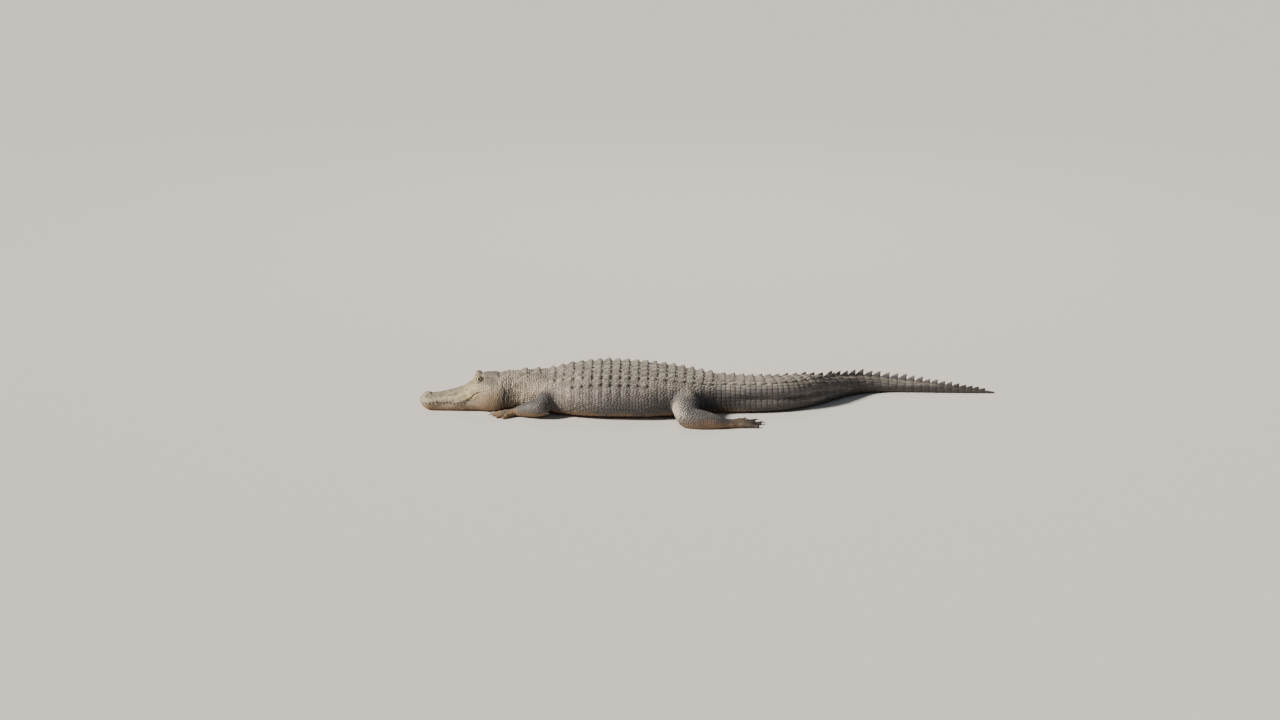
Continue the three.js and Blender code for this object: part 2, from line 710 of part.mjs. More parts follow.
const alligator = new THREE.Group();
function add(name, body, material) {
  const { vertProperties, triVerts } = largest(body).simplify(0.02).getMesh();
  const geometry = new THREE.BufferGeometry();
  geometry.setAttribute("position", new THREE.BufferAttribute(new Float32Array(vertProperties), 3));
  geometry.setIndex(new THREE.BufferAttribute(new Uint32Array(triVerts), 1));
  geometry.computeVertexNormals();
  const part = new THREE.Mesh(geometry, material);
  part.name = name;
  alligator.add(part);
}

add("head", skull, hide);
add("lower_jaw", lowerJaw, hide);
add("neck", neck, hide);
add("torso", torso, hide);
add("tail_base", tailBase, hide);
add("tail_middle", tailMiddle, hide);
add("tail_end", tailEnd, hide);
add("left_eye", eyeball(-1), eye);
add("right_eye", eyeball(1), eye);

// Each limb is joined up, cut clear of the body and parted at its elbow or knee and at its wrist
const thicker = (body) => {
  const { min, max } = body.boundingBox();
  const middle = min.map((low, n) => (low + max[n]) / 2);
  const growth = min.map((low, n) => 1 + (6 * GAP) / (max[n] - low));
  return body
    .translate(middle.map((m) => -m))
    .scale(growth)
    .translate(middle);
};
const CLEARANCE = 1.3 * GAP;
const clearance = unite([
  stretch(inNeck(0) + GAP, TAIL_TIP, { ...bodySteps, grow: CLEARANCE }),
  ...armour.map(thicker),
]);
for (const { name, side, joints, upper, lower, end, ahead, sole } of limbs) {
  const [root, bend, wrist] = joints.map(([at, out, up]) => beside(at, side * out, up));
  const aheadAt = (turn) => {
    const angle = degToRad(ahead + (ahead > 90 ? -turn : turn));
    return heading(joints[2][0], -Math.cos(angle), side * Math.sin(angle), 0);
  };
  const base = wrist.clone();
  const palmEnd = base.clone().addScaledVector(aheadAt(0), end.palm.reach);
  palmEnd.z = end.palm.deep[2] - 1;
  const palm = drawn(base, palmEnd, { ...end.palm, round: 10 });
  const webs = (end.web ? [end.web] : []).map(({ centre, long, wide }) => {
    const middle = base.clone().addScaledVector(aheadAt(0), centre + long / 2);
    middle.z = 7;
    return lens(middle, aheadAt(0), aheadAt(90), [long, wide, 5]);
  });
  const toes = end.toes.map((digit) => toe(base, aheadAt, digit, end));
  const whole = unite([
    drawn(root, bend, { ...upper, round: 12, steps: 5 }),
    drawn(bend, wrist, { ...lower, round: 10, steps: 4 }),
    palm,
    ...webs,
    ...toes,
  ]);
  const limb = onGround(whole.simplify(0.6).subtract(clearance));
  const lowerWay = wrist.clone().sub(bend).normalize();
  const crook = lowerWay.clone().add(bend.clone().sub(root).normalize()).normalize();
  const ankle = lowerWay.clone().setZ(0).normalize().add(aheadAt(0)).normalize();
  const cut = (body, normal, point) => {
    const offset = normal.dot(point);
    return [
      body.trimByPlane(normal.clone().negate().toArray(), GAP / 2 - offset),
      body.trimByPlane(normal.toArray(), offset + GAP / 2),
    ];
  };
  const [upperPart, rest] = cut(limb, crook, bend);
  const [lowerPart, endPart] = cut(rest, ankle, wrist);
  const [upperName, lowerName, endName] = name.endsWith("fore")
    ? ["upper_arm", "forearm", "hand"]
    : ["thigh", "shank", "foot"];
  const sideName = name.split("_")[0];
  add(`${sideName}_${upperName}`, upperPart, hide);
  add(`${sideName}_${lowerName}`, lowerPart, hide);
  add(`${sideName}_${endName}`, endPart, hide);
  end.toes.forEach((digit, n) => {
    if (!digit.claw) return;
    const sheath = unite(end.toes.map((other) => toe(base, aheadAt, other, end, GAP)));
    const piece = claw(base, aheadAt, digit, end, sole).subtract(sheath);
    add(`${sideName}_${endName}_claw_${n + 1}`, onGround(piece), horn);
  });
}

export default alligator;
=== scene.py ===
import itertools
import json
import math

import bmesh
import bpy
import numpy as np
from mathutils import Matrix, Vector
from mathutils.bvhtree import BVHTree
from mathutils.kdtree import KDTree

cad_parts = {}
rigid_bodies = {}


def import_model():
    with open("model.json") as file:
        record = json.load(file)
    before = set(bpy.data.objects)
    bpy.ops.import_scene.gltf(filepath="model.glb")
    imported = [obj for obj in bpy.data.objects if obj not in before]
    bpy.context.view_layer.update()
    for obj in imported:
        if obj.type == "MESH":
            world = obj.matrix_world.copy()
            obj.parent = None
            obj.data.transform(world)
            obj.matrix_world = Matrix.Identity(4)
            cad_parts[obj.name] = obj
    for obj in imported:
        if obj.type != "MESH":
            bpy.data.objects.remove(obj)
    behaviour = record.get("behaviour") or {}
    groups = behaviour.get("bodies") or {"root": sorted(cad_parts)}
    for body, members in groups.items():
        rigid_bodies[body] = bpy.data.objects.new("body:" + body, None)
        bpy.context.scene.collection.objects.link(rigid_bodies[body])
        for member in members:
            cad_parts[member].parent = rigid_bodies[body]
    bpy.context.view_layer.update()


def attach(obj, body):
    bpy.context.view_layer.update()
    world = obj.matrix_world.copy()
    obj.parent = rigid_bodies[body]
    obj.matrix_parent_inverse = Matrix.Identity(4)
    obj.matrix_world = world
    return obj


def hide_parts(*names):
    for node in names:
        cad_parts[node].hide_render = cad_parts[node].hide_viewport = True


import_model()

# Skin. The hide is one leathery sheet over the whole animal, pressed flat underneath where it lies.
# The body is swept along the spine from its cross-sections, the limbs are swept through their joints,
# and the forms are joined and the joins drawn smooth, as flesh runs from one into the other.
HEAD = 0.42
NECK = 0.18
TRUNK = 0.895
TAIL = 1.505
LENGTH = HEAD + NECK + TRUNK + TAIL


def in_head(share):
    return HEAD * share


def in_neck(share):
    return HEAD + NECK * share


def in_trunk(share):
    return HEAD + NECK + TRUNK * share


def in_tail(share):
    return HEAD + NECK + TRUNK + TAIL * share


ORIGIN_AT = in_trunk(0.564)
EYE_AT = in_head(0.7)
TABLE_FROM = in_head(0.74)
TABLE_TO = in_head(0.93)

# Place along the spine, half width, height of the back and of the underside, height of the widest
# point, and how square the section is above and below that
HALF_WIDTH = 1
SECTIONS = np.array([
    (in_head(0), 0.014, 0.060, 0.038, 0.050, 2.2, 2.2),
    (in_head(0.03), 0.038, 0.072, 0.016, 0.052, 2.5, 2.5),
    (in_head(0.1), 0.055, 0.077, 0.001, 0.050, 2.8, 2.6),
    (in_head(0.2), 0.058, 0.080, -0.003, 0.050, 3.0, 2.6),
    (in_head(0.36), 0.068, 0.091, -0.004, 0.052, 3.0, 2.6),
    (in_head(0.52), 0.076, 0.111, -0.004, 0.060, 2.8, 2.6),
    (in_head(0.61), 0.084, 0.132, -0.004, 0.072, 2.7, 2.6),
    (in_head(0.7), 0.096, 0.155, -0.004, 0.084, 2.6, 2.6),
    (in_head(0.82), 0.117, 0.165, -0.004, 0.092, 2.5, 2.6),
    (in_head(0.93), 0.124, 0.167, -0.002, 0.090, 2.4, 2.5),
    (in_neck(0), 0.121, 0.180, 0.003, 0.088, 2.4, 2.4),
    (in_neck(0.35), 0.117, 0.185, 0.008, 0.092, 2.4, 2.4),
    (in_neck(0.75), 0.132, 0.187, 0.004, 0.094, 2.3, 2.4),
    (in_trunk(0.06), 0.178, 0.185, -0.003, 0.092, 2.4, 2.6),
    (in_trunk(0.2), 0.224, 0.208, -0.007, 0.094, 2.5, 2.9),
    (in_trunk(0.37), 0.250, 0.219, -0.008, 0.096, 2.5, 3.0),
    (in_trunk(0.56), 0.256, 0.209, -0.008, 0.095, 2.5, 3.0),
    (in_trunk(0.72), 0.232, 0.196, -0.008, 0.092, 2.5, 3.0),
    (in_trunk(0.86), 0.186, 0.179, -0.006, 0.086, 2.6, 2.9),
    (in_tail(0), 0.132, 0.162, -0.004, 0.074, 2.9, 2.9),
    (in_tail(0.08), 0.115, 0.156, -0.005, 0.068, 3.3, 3.1),
    (in_tail(0.2), 0.099, 0.153, -0.005, 0.062, 3.4, 3.1),
    (in_tail(0.3), 0.082, 0.147, -0.004, 0.056, 3.0, 2.8),
    (in_tail(0.4), 0.062, 0.124, -0.003, 0.050, 2.3, 2.3),
    (in_tail(0.52), 0.047, 0.097, -0.003, 0.042, 1.9, 2.0),
    (in_tail(0.64), 0.035, 0.071, -0.003, 0.034, 1.8, 1.9),
    (in_tail(0.76), 0.026, 0.050, -0.002, 0.025, 1.8, 1.9),
    (in_tail(0.9), 0.015, 0.027, -0.002, 0.014, 1.9, 1.9),
    (in_tail(1), 0.004, 0.009, -0.001, 0.004, 2.0, 2.0),
])

# Bends of the spine seen from above: from, to, and the turn in degrees
HEAD_TURN = 3
BENDS = [
    (in_head(1), in_trunk(0.3), -3.5),
    (in_trunk(0.4), in_trunk(0.9), -1.5),
    (in_tail(0.06), in_tail(0.42), 41),
    (in_tail(0.42), in_tail(0.7), -43),
]

# The line of the mouth, seen from the side
MOUTH = np.array([
    (in_head(-0.05), 0.044),
    (in_head(0.07), 0.044),
    (in_head(0.2), 0.050),
    (in_head(0.33), 0.051),
    (in_head(0.43), 0.045),
    (in_head(0.52), 0.058),
    (in_head(0.6), 0.079),
    (in_head(0.68), 0.104),
    (in_head(0.8), 0.116),
    (in_head(1.02), 0.122),
])
LIP_OVERHANG = 0.007
TOOTH_ROW = (in_head(0.035), in_head(0.62))
TEETH_PER_SIDE = 14


def tooth_at(n):
    """Where the nth tooth stands, and how big it is, from 0 to 1."""
    at = TOOTH_ROW[0] + (n + 0.5) / TEETH_PER_SIDE * (TOOTH_ROW[1] - TOOTH_ROW[0])
    return at, max(bump(at, in_head(0.4), 0.036), 0.9 * bump(at, in_head(0.15), 0.026))


LIP_ENDS = in_head(0.79)


def between(stations, column, at):
    """A named size between the stations of a list, without overshoot."""
    x, y = stations[:, 0], stations[:, column]
    rise = np.diff(y) / np.diff(x)
    before, after = rise[:-1], rise[1:]
    same_way = before * after > 0
    slope = np.r_[rise[0], np.zeros(len(x) - 2), rise[-1]]
    slope[1:-1][same_way] = (2 * before * after / (before + after + 1e-12))[same_way]
    at = np.clip(at, x[0], x[-1])
    n = np.clip(np.searchsorted(x, at, side="right") - 1, 0, len(x) - 2)
    span = x[n + 1] - x[n]
    t = (at - x[n]) / span
    return (
        y[n] * (2 * t**3 - 3 * t**2 + 1)
        + slope[n] * span * (t**3 - 2 * t**2 + t)
        + y[n + 1] * (3 * t**2 - 2 * t**3)
        + slope[n + 1] * span * (t**3 - t**2)
    )


def smoothstep(x, low, high):
    t = np.clip((x - low) / (high - low), 0, 1)
    return t * t * (3 - 2 * t)


def bump(x, centre, reach):
    return np.exp(-(((x - centre) / reach) ** 2))


def plateau(x, low, high, edge):
    return smoothstep(x, low - edge, low + edge) * (1 - smoothstep(x, high - edge, high + edge))


SPINE_STEP = 0.005


def heading_at(at):
    turn = HEAD_TURN + sum(t * smoothstep(at, low, high) for low, high, t in BENDS)
    return np.radians(turn)


spine_at = np.arange(0, LENGTH + SPINE_STEP / 2, SPINE_STEP)
spine_middle = heading_at(spine_at[:-1] + SPINE_STEP / 2)
spine_x = np.r_[0, np.cumsum(SPINE_STEP * np.cos(spine_middle))]
spine_y = np.r_[0, np.cumsum(SPINE_STEP * np.sin(spine_middle))]
spine_x = spine_x - np.interp(ORIGIN_AT, spine_at, spine_x)
spine_y = spine_y - np.interp(ORIGIN_AT, spine_at, spine_y)


def beside(at, right, up):
    """Points given by distance along the spine, distance to the right of it and height."""
    at = np.clip(at, 0, LENGTH)
    turn = heading_at(at)
    x = np.interp(at, spine_at, spine_x) - right * np.sin(turn)
    y = np.interp(at, spine_at, spine_y) + right * np.cos(turn)
    return np.stack(np.broadcast_arrays(x, y, up), -1)


def way(at, along, right, up):
    """A unit direction given along the spine, to the right of it and up."""
    turn = heading_at(np.clip(at, 0, LENGTH))
    x = along * np.cos(turn) - right * np.sin(turn)
    y = along * np.sin(turn) + right * np.cos(turn)
    direction = np.array([x, y, up], float)
    return direction / np.linalg.norm(direction)


# What rises from the plain section on top of the head: the skull table, brows and nostril boss
TABLE_HALF = 0.048
TABLE_RISE = 0.016
BROW_RISE = 0.027
BROW_ASIDE = 0.041
BROW_DIP = 0.006
BOSS_RISE = 0.008
RIDGE_RISE = 0.004
RIDGE_ASIDE = 0.022


def crown(at, side):
    """How far the top of the head stands above its plain section."""
    inside = 1 - smoothstep(side, TABLE_HALF - 0.002, TABLE_HALF + 0.009)
    front = smoothstep(at, TABLE_FROM - 0.007, TABLE_FROM + 0.007)
    rear = smoothstep(at, TABLE_TO - 0.008, TABLE_TO + 0.022)
    table = TABLE_RISE * front * (1 - rear) * inside
    brow = BROW_RISE * bump(at, EYE_AT - 0.002, 0.027) * bump(side, BROW_ASIDE, 0.019)
    dip = -BROW_DIP * bump(at, EYE_AT, 0.030) * bump(side, 0, 0.017)
    boss = BOSS_RISE * plateau(at, 0.018, 0.056, 0.009) * (1 - smoothstep(side, 0.018, 0.036))
    ridges = RIDGE_RISE * plateau(at, in_head(0.3), in_head(0.62), 0.03) * bump(side, RIDGE_ASIDE, 0.008)
    return np.maximum(table, brow) + dip + boss + ridges


def tail_fold(at, height, top):
    """The share of its width that the tail keeps along the fold in its side."""
    reach = plateau(at, in_tail(0.06), in_tail(0.42), 0.06)
    return 1 - 0.15 * reach * bump(height, 0.5 * top, 0.075 * top)


PROFILE_STEPS = 180


def profile(at):
    """Half of one section, from the middle of the back to the middle of the belly."""
    half, top, under, wide, square, below = (between(SECTIONS, n, at) for n in range(1, 7))
    angle = np.pi * (0.5 - np.linspace(0, 1, PROFILE_STEPS + 1))
    c, s = np.abs(np.cos(angle)), np.sin(angle)
    upper = s > 0
    side = half * c ** (2 / np.where(upper, square, below))
    reach = np.where(upper, top - wide, wide - under)
    height = wide + np.sign(s) * reach * np.abs(s) ** (2 / np.where(upper, square, below))
    if at < HEAD:
        height = height + crown(at, side) * np.maximum(s, 0) ** 0.5
    side = side * tail_fold(at, height, top)
    around = np.r_[0, np.cumsum(np.hypot(np.diff(side), np.diff(height)))]
    return side, height, around


def around_at(line, height):
    """How far round a section a height is reached for the last time, going down."""
    _, heights, around = line
    n = min(np.flatnonzero(heights > height)[-1], PROFILE_STEPS - 1)
    t = (heights[n] - height) / max(heights[n] - heights[n + 1], 1e-9)
    return around[n] + min(t, 1) * (around[n + 1] - around[n])


# Rings of the body, closer together where it is finer, and columns from the back to the belly. In
# the head one column follows the line of the mouth, and its neighbours draw close to it. A step is
# given as a place along the spine and the distance to the next ring there.
COLUMNS = 64
MOUTH_COLUMN = 30
RING_STEPS = np.array([
    (0, 0.0010),
    (0.010, 0.0026),
    (0.400, 0.0030),
    (0.460, 0.0045),
    (0.660, 0.0060),
    (1.500, 0.0070),
    (2.600, 0.0080),
    (3.0, 0.0040),
])
ring_list = [0.0]
while ring_list[-1] < LENGTH:
    ring_list.append(ring_list[-1] + np.interp(ring_list[-1], RING_STEPS[:, 0], RING_STEPS[:, 1]))
ring_list[-1] = LENGTH
body_rings = np.array(ring_list)
MOUTH_PULL = 1.35
column = np.arange(COLUMNS + 1)
upper_share = 1 - (1 - np.minimum(column, MOUTH_COLUMN) / MOUTH_COLUMN) ** MOUTH_PULL
lower_part = np.maximum(column - MOUTH_COLUMN, 0) / (COLUMNS - MOUTH_COLUMN)
lower_share = lower_part**MOUTH_PULL
even_share = column / COLUMNS


def fold(distance, depth, width):
    """A crease in the hide with its two soft flanks."""
    flanks = bump(np.abs(distance), 2.3 * width, width)
    return depth * (0.35 * flanks - bump(distance, 0, width))


# The relief of the hide: lips, swellings over the teeth, jowl, bony knobs, folds of the neck and
# behind the shoulder, and the grooves between the bands of plates
LIP_GROOVE = 0.0045
UPPER_LIP = 0.0014
LOWER_LIP = 0.0010
SOCKET_SWELL = 0.0008
BIG_SOCKET_SWELL = 0.0018
JOWL_SWELL = 0.005
BONE_KNOB = 0.0009
NECK_FOLDS = (0.424, 0.438, 0.453, 0.466)
NECK_FOLD_DEPTH = 0.0032
THROAT_FOLDS = (0.505, 0.535)
THROAT_FOLD_DEPTH = 0.0028
SHOULDER_FOLD = 0.585
SHOULDER_FOLD_DEPTH = 0.0075
PLATE_PITCH = 0.0465
FIRST_ROW = in_trunk(0.045)
BAND_GROOVE = 0.0052
BELLY_WAVE = 0.0014
BELLY_WAVE_LENGTH = 0.024


def relief(at, around, height, mouth_gap):
    """How far the hide stands out from the plain section, in folds, lips and bulges."""
    out = np.zeros_like(height)
    lips = 1 - smoothstep(at, in_head(0.66), in_head(0.84))
    ends = smoothstep(at, 0.0, 0.012)
    if at < in_neck(0.5):
        out += -LIP_GROOVE * lips * ends * bump(mouth_gap, 0, 0.0015)
        out += UPPER_LIP * lips * bump(mouth_gap, 0.0065, 0.0045)
        out += LOWER_LIP * lips * bump(mouth_gap, -0.0065, 0.0040)
        for n in range(TEETH_PER_SIDE):
            tooth, big = tooth_at(n)
            size = SOCKET_SWELL + BIG_SOCKET_SWELL * big
            out += size * lips * bump(at, tooth, 0.008) * bump(mouth_gap, 0.011, 0.008)
        jowl = bump(at, in_head(0.8), 0.045) * bump(height, 0.082, 0.026)
        out += JOWL_SWELL * jowl * smoothstep(-mouth_gap, -0.012, 0.012)
        bulge = bump(at, in_head(0.66), 0.022) * bump(mouth_gap, -0.014, 0.011)
        out += JOWL_SWELL * bulge
        bone = smoothstep(mouth_gap, 0.010, 0.022) * (1 - smoothstep(at, in_head(0.93), in_neck(0)))
        knobs = np.sin(at * 430 + 2.5 * np.sin(around * 130))
        knobs = knobs * np.sin(around * 380 + 2 * np.sin(at * 170))
        out += BONE_KNOB * bone * knobs
    neck = smoothstep(height, 0.02, 0.06) * (1 - smoothstep(height, 0.14, 0.17))
    for n, place in enumerate(NECK_FOLDS):
        slant = place + 0.05 * (0.1 - height) + 0.004 * np.sin(height * 70 + 2 * n)
        out += neck * fold(at - slant, NECK_FOLD_DEPTH - 0.0004 * n, 0.0048)
    for n, place in enumerate(THROAT_FOLDS):
        slant = place - 0.08 * (0.1 - height) + 0.004 * np.sin(height * 60 + n)
        out += 0.5 * neck * fold(at - slant, THROAT_FOLD_DEPTH, 0.006)
    shoulder = SHOULDER_FOLD + 0.42 * (height - 0.09)
    out += neck * fold(at - shoulder, SHOULDER_FOLD_DEPTH, 0.010)
    trunk = plateau(at, in_trunk(0.05), in_trunk(0.95), 0.03)
    band = (at - FIRST_ROW) / PLATE_PITCH
    upper_flank = 0.35 + 0.65 * plateau(around, 0.13, 0.30, 0.04)
    upper_flank = upper_flank * (1 - smoothstep(around, 0.27, 0.33))
    front = 1 - 0.6 * smoothstep(at, in_trunk(0.4), in_trunk(0.6))
    groove = bump((band - np.round(band)) * PLATE_PITCH, 0, 0.009)
    out += -BAND_GROOVE * trunk * front * upper_flank * groove
    low_flank = plateau(height, 0.035, 0.095, 0.012) * plateau(at, in_trunk(0.08), in_trunk(0.8), 0.05)
    wave = np.sin(around * 2 * np.pi / BELLY_WAVE_LENGTH + 3 * np.sin(at * 9) + 1.2 * np.sin(at * 31))
    out += BELLY_WAVE * low_flank * wave
    return out


body_points = np.zeros((len(body_rings), 2 * COLUMNS, 3))
EVEN = 128
even_side = np.zeros((len(body_rings), EVEN + 1))
even_up = np.zeros((len(body_rings), EVEN + 1))
girths = np.zeros(len(body_rings))
mouth_arc = np.zeros(len(body_rings))
low_arc = np.zeros(len(body_rings))
for i, at in enumerate(body_rings):
    line = profile(at)
    side, height, around = line
    girth = around[-1]
    rise = between(MOUTH, 1, min(at, in_head(1)))
    mouth_arc[i] = around_at(line, rise) if at < in_head(1) else mouth_arc[i - 1]
    low_arc[i] = around_at(line, min(0.034, 0.4 * height[0]))
    mouth = min(mouth_arc[i], 0.7 * girth)
    upper, lower = mouth * upper_share, mouth + (girth - mouth) * lower_share
    clustered = np.where(column <= MOUTH_COLUMN, upper, lower)
    share = smoothstep(at, in_head(0.95), in_neck(0.9))
    arcs = (1 - share) * clustered + share * girth * even_share
    lip = LIP_OVERHANG * (1 - smoothstep(at, in_head(0.66), LIP_ENDS)) * smoothstep(at, -0.004, 0.02)
    across, up = np.interp(arcs, around, side), np.interp(arcs, around, height)
    run = np.gradient(np.stack([across, up]), arcs, axis=1)
    run /= np.maximum(np.hypot(*run), 1e-9)
    normal = np.stack([-run[1], run[0]])
    normal[0, [0, -1]] = 0
    mouth_gap = mouth - arcs
    out = relief(at, arcs, up, mouth_gap)
    across = across * (1 - lip / max(side.max(), lip * 2) * smoothstep(-mouth_gap, -0.0004, 0.0012))
    across = np.maximum(across + normal[0] * out, 0)
    up = up + normal[1] * out
    girths[i] = girth
    even_side[i] = np.interp(girth * np.arange(EVEN + 1) / EVEN, arcs, across)
    even_up[i] = np.interp(girth * np.arange(EVEN + 1) / EVEN, arcs, up)
    body_points[i, : COLUMNS + 1] = beside(at, across, up)
    body_points[i, COLUMNS + 1 :] = beside(at, -across[1:-1], up[1:-1])[::-1]


def closed_tube(name, rings, crown_of_end=0.0):
    """A closed form swept through rings of points, its two ends drawn in to a low dome."""
    count, around = rings.shape[:2]
    bpy.ops.mesh.primitive_grid_add(x_subdivisions=around, y_subdivisions=count - 1, size=1)
    tube = bpy.context.object
    tube.name = name
    tube.data.name = name
    closed = np.concatenate([rings, rings[:, :1]], 1)
    tube.data.vertices.foreach_set("co", closed.reshape(-1).astype(np.float32))
    bpy.ops.object.mode_set(mode="EDIT")
    bpy.ops.mesh.select_all(action="SELECT")
    bpy.ops.mesh.remove_doubles(threshold=1e-7)
    bpy.ops.object.mode_set(mode="OBJECT")
    shape = bmesh.new()
    shape.from_mesh(tube.data)
    ends = [edge for edge in shape.edges if edge.is_boundary]
    caps = bmesh.ops.holes_fill(shape, edges=ends, sides=0)["faces"]
    bmesh.ops.recalc_face_normals(shape, faces=shape.faces)
    for share in (0.6, 0.3, 0.1):
        bmesh.ops.inset_individual(shape, faces=caps, thickness=0, use_even_offset=False)
        for face in caps:
            middle, out = face.calc_center_median(), face.normal.copy()
            for vertex in face.verts:
                vertex.co = vertex.co.lerp(middle, 0.4) + out * crown_of_end * share
    bmesh.ops.poke(shape, faces=caps)
    bmesh.ops.recalc_face_normals(shape, faces=shape.faces)
    shape.to_mesh(tube.data)
    shape.free()
    bpy.ops.object.select_all(action="DESELECT")
    return tube


skin = closed_tube("skin", body_points, 0.004)

# Where the head is finest the sheet is divided again, and then shaped: the lids over the eyes, the
# openings of the nostrils and the flap that closes the ear
EYE_SIZE = 0.015
LID_THICK = 0.0024
EYE_LONG = 0.0118
EYE_TALL = 0.0068
LOWER_LID = 0.85
ALMOND = 1.7
BROW_BLEND = 0.006
BROW_RIDGE = 0.0022
LID_SINK = 0.0014
EYE_ASIDE = 0.045
EYE_UP = 0.163
NOSTRIL_AT = in_head(0.078)
NOSTRIL_ASIDE = 0.013
NOSTRIL_UP = 0.0855
NOSTRIL_LONG = 0.0075
NOSTRIL_WIDE = 0.0040
NOSTRIL_BOW = 28
NOSTRIL_DEPTH = 0.006
EAR_AT = in_head(0.825)
EAR_UP = 0.170
EAR_HALF = 0.027
EAR_FLAP = 0.0022
EAR_SLIT = 0.0040


def eye_frame(side):
    """The middle of an eyeball, and its directions out, along the head and over the eye."""
    centre = beside(EYE_AT + 0.002, side * EYE_ASIDE, EYE_UP)
    out = way(EYE_AT, -0.22, side, 0.3)
    along = way(EYE_AT, 1, side * 0.22, 0)
    over = np.cross(along, out)
    over *= np.sign(over[2]) / np.linalg.norm(over)
    return centre, out, along, over


def nostril_frame(side):
    """The middle of a nostril, and its directions along and across the opening."""
    centre = beside(NOSTRIL_AT, side * NOSTRIL_ASIDE, NOSTRIL_UP)
    along = way(NOSTRIL_AT, 0.8, side * 0.6, 0)
    return centre, along, side * np.cross([0, 0, 1], along)


def ear_frame(side):
    """The middle of an ear flap, and its directions along the head and out."""
    centre = beside(EAR_AT, side * (TABLE_HALF + 0.007), EAR_UP)
    return centre, way(EAR_AT, 1, 0, 0), way(EAR_AT, 0, side, 0.25)


def divide_near(mesh, centre, reach, cuts):
    """Divides the faces of the hide within reach of a point."""
    shape = bmesh.new()
    shape.from_mesh(mesh)
    middle = Vector(centre)
    near = {v for v in shape.verts if (v.co - middle).length < reach}
    edges = [e for e in shape.edges if e.verts[0] in near and e.verts[1] in near]
    bmesh.ops.subdivide_edges(shape, edges=edges, cuts=cuts, use_grid_fill=True)
    shape.to_mesh(mesh)
    shape.free()


def points_of(mesh):
    flat = np.zeros(3 * len(mesh.vertices), np.float32)
    mesh.vertices.foreach_get("co", flat)
    return flat.reshape(-1, 3).astype(float)


def set_points(mesh, points):
    mesh.vertices.foreach_set("co", np.ascontiguousarray(points, np.float32).reshape(-1))
    mesh.update()


for side in (-1, 1):
    divide_near(skin.data, eye_frame(side)[0], 0.034, 2)
    divide_near(skin.data, nostril_frame(side)[0], 0.014, 2)
    divide_near(skin.data, ear_frame(side)[0], 0.030, 2)

points = points_of(skin.data)
for side in (-1, 1):
    centre, out, along, over = eye_frame(side)
    away = points - centre
    size = np.linalg.norm(away, axis=1)
    near = np.flatnonzero((size < 0.042) & (away @ out > -0.006))
    ray = away[near] / size[near, None]
    a, u = EYE_SIZE * (ray @ along), EYE_SIZE * (ray @ over)
    facing = ray @ out
    tall = np.where(u > 0, EYE_TALL, EYE_TALL * LOWER_LID)
    lens = (np.abs(a / EYE_LONG) ** ALMOND + np.abs(u / tall) ** ALMOND) ** (1 / ALMOND)
    snap = (np.abs(lens - 1) < 0.10) & (facing > 0.3)
    a, u = np.where(snap, a / lens, a), np.where(snap, u / lens, u)
    flat = np.sqrt(np.maximum(EYE_SIZE**2 - a**2 - u**2, 1e-9))
    edge = (a[:, None] * along + u[:, None] * over + flat[:, None] * out) / EYE_SIZE
    ray = np.where(snap[:, None], edge, ray)
    lens = np.where(snap, 1.001, lens)
    shell = EYE_SIZE + LID_THICK
    shell = shell + BROW_RIDGE * bump(lens, 2.1, 0.5) * (u > 0)
    shell = shell - 0.0008 * bump(lens, 1.7, 0.14) * (u < 0) - 0.0010 * bump(lens, 1.62, 0.12) * (u > 0)
    outer = 0.5 * (size[near] + shell + np.hypot(size[near] - shell, BROW_BLEND))
    weight = smoothstep(facing, -0.3, 0.25) * (1 - smoothstep(size[near], 0.026, 0.040))
    outer = size[near] + (outer - size[near]) * weight
    free = 0.03 * smoothstep(lens, 1.4, 3.3)
    outer = np.minimum(outer, shell - LID_SINK + free + 0.03 * (facing < 0.1))
    reach = np.where((lens < 1) & (facing > 0.3), EYE_SIZE - 0.003, outer)
    points[near] = centre + ray * reach[:, None]

    centre, along, across = nostril_frame(side)
    away = points - centre
    a, b = away @ along, away @ across
    near = (np.hypot(a, b) < 0.02) & (np.abs(away[:, 2]) < 0.02)
    lens = np.hypot(a / NOSTRIL_LONG, (b + NOSTRIL_BOW * a * a) / NOSTRIL_WIDE)
    lift = -NOSTRIL_DEPTH * (1 - smoothstep(lens, 0.5, 1.15)) + 0.0014 * bump(lens, 1.5, 0.45)
    points[near, 2] += lift[near]

    centre, along, out = ear_frame(side)
    away = points - centre
    a, b, u = away @ along, away @ out, away[:, 2]
    near = (np.abs(a) < 0.036) & (np.abs(b) < 0.016) & (np.abs(u) < 0.018)
    length = np.clip(1 - (a / EAR_HALF) ** 2, 0, 1) ** 0.5
    drop = u + 0.10 * a
    push = length * (EAR_FLAP * bump(drop, 0.0045, 0.0035) - EAR_SLIT * bump(drop, -0.0012, 0.0018))
    points[near] += push[near, None] * out
set_points(skin.data, points)

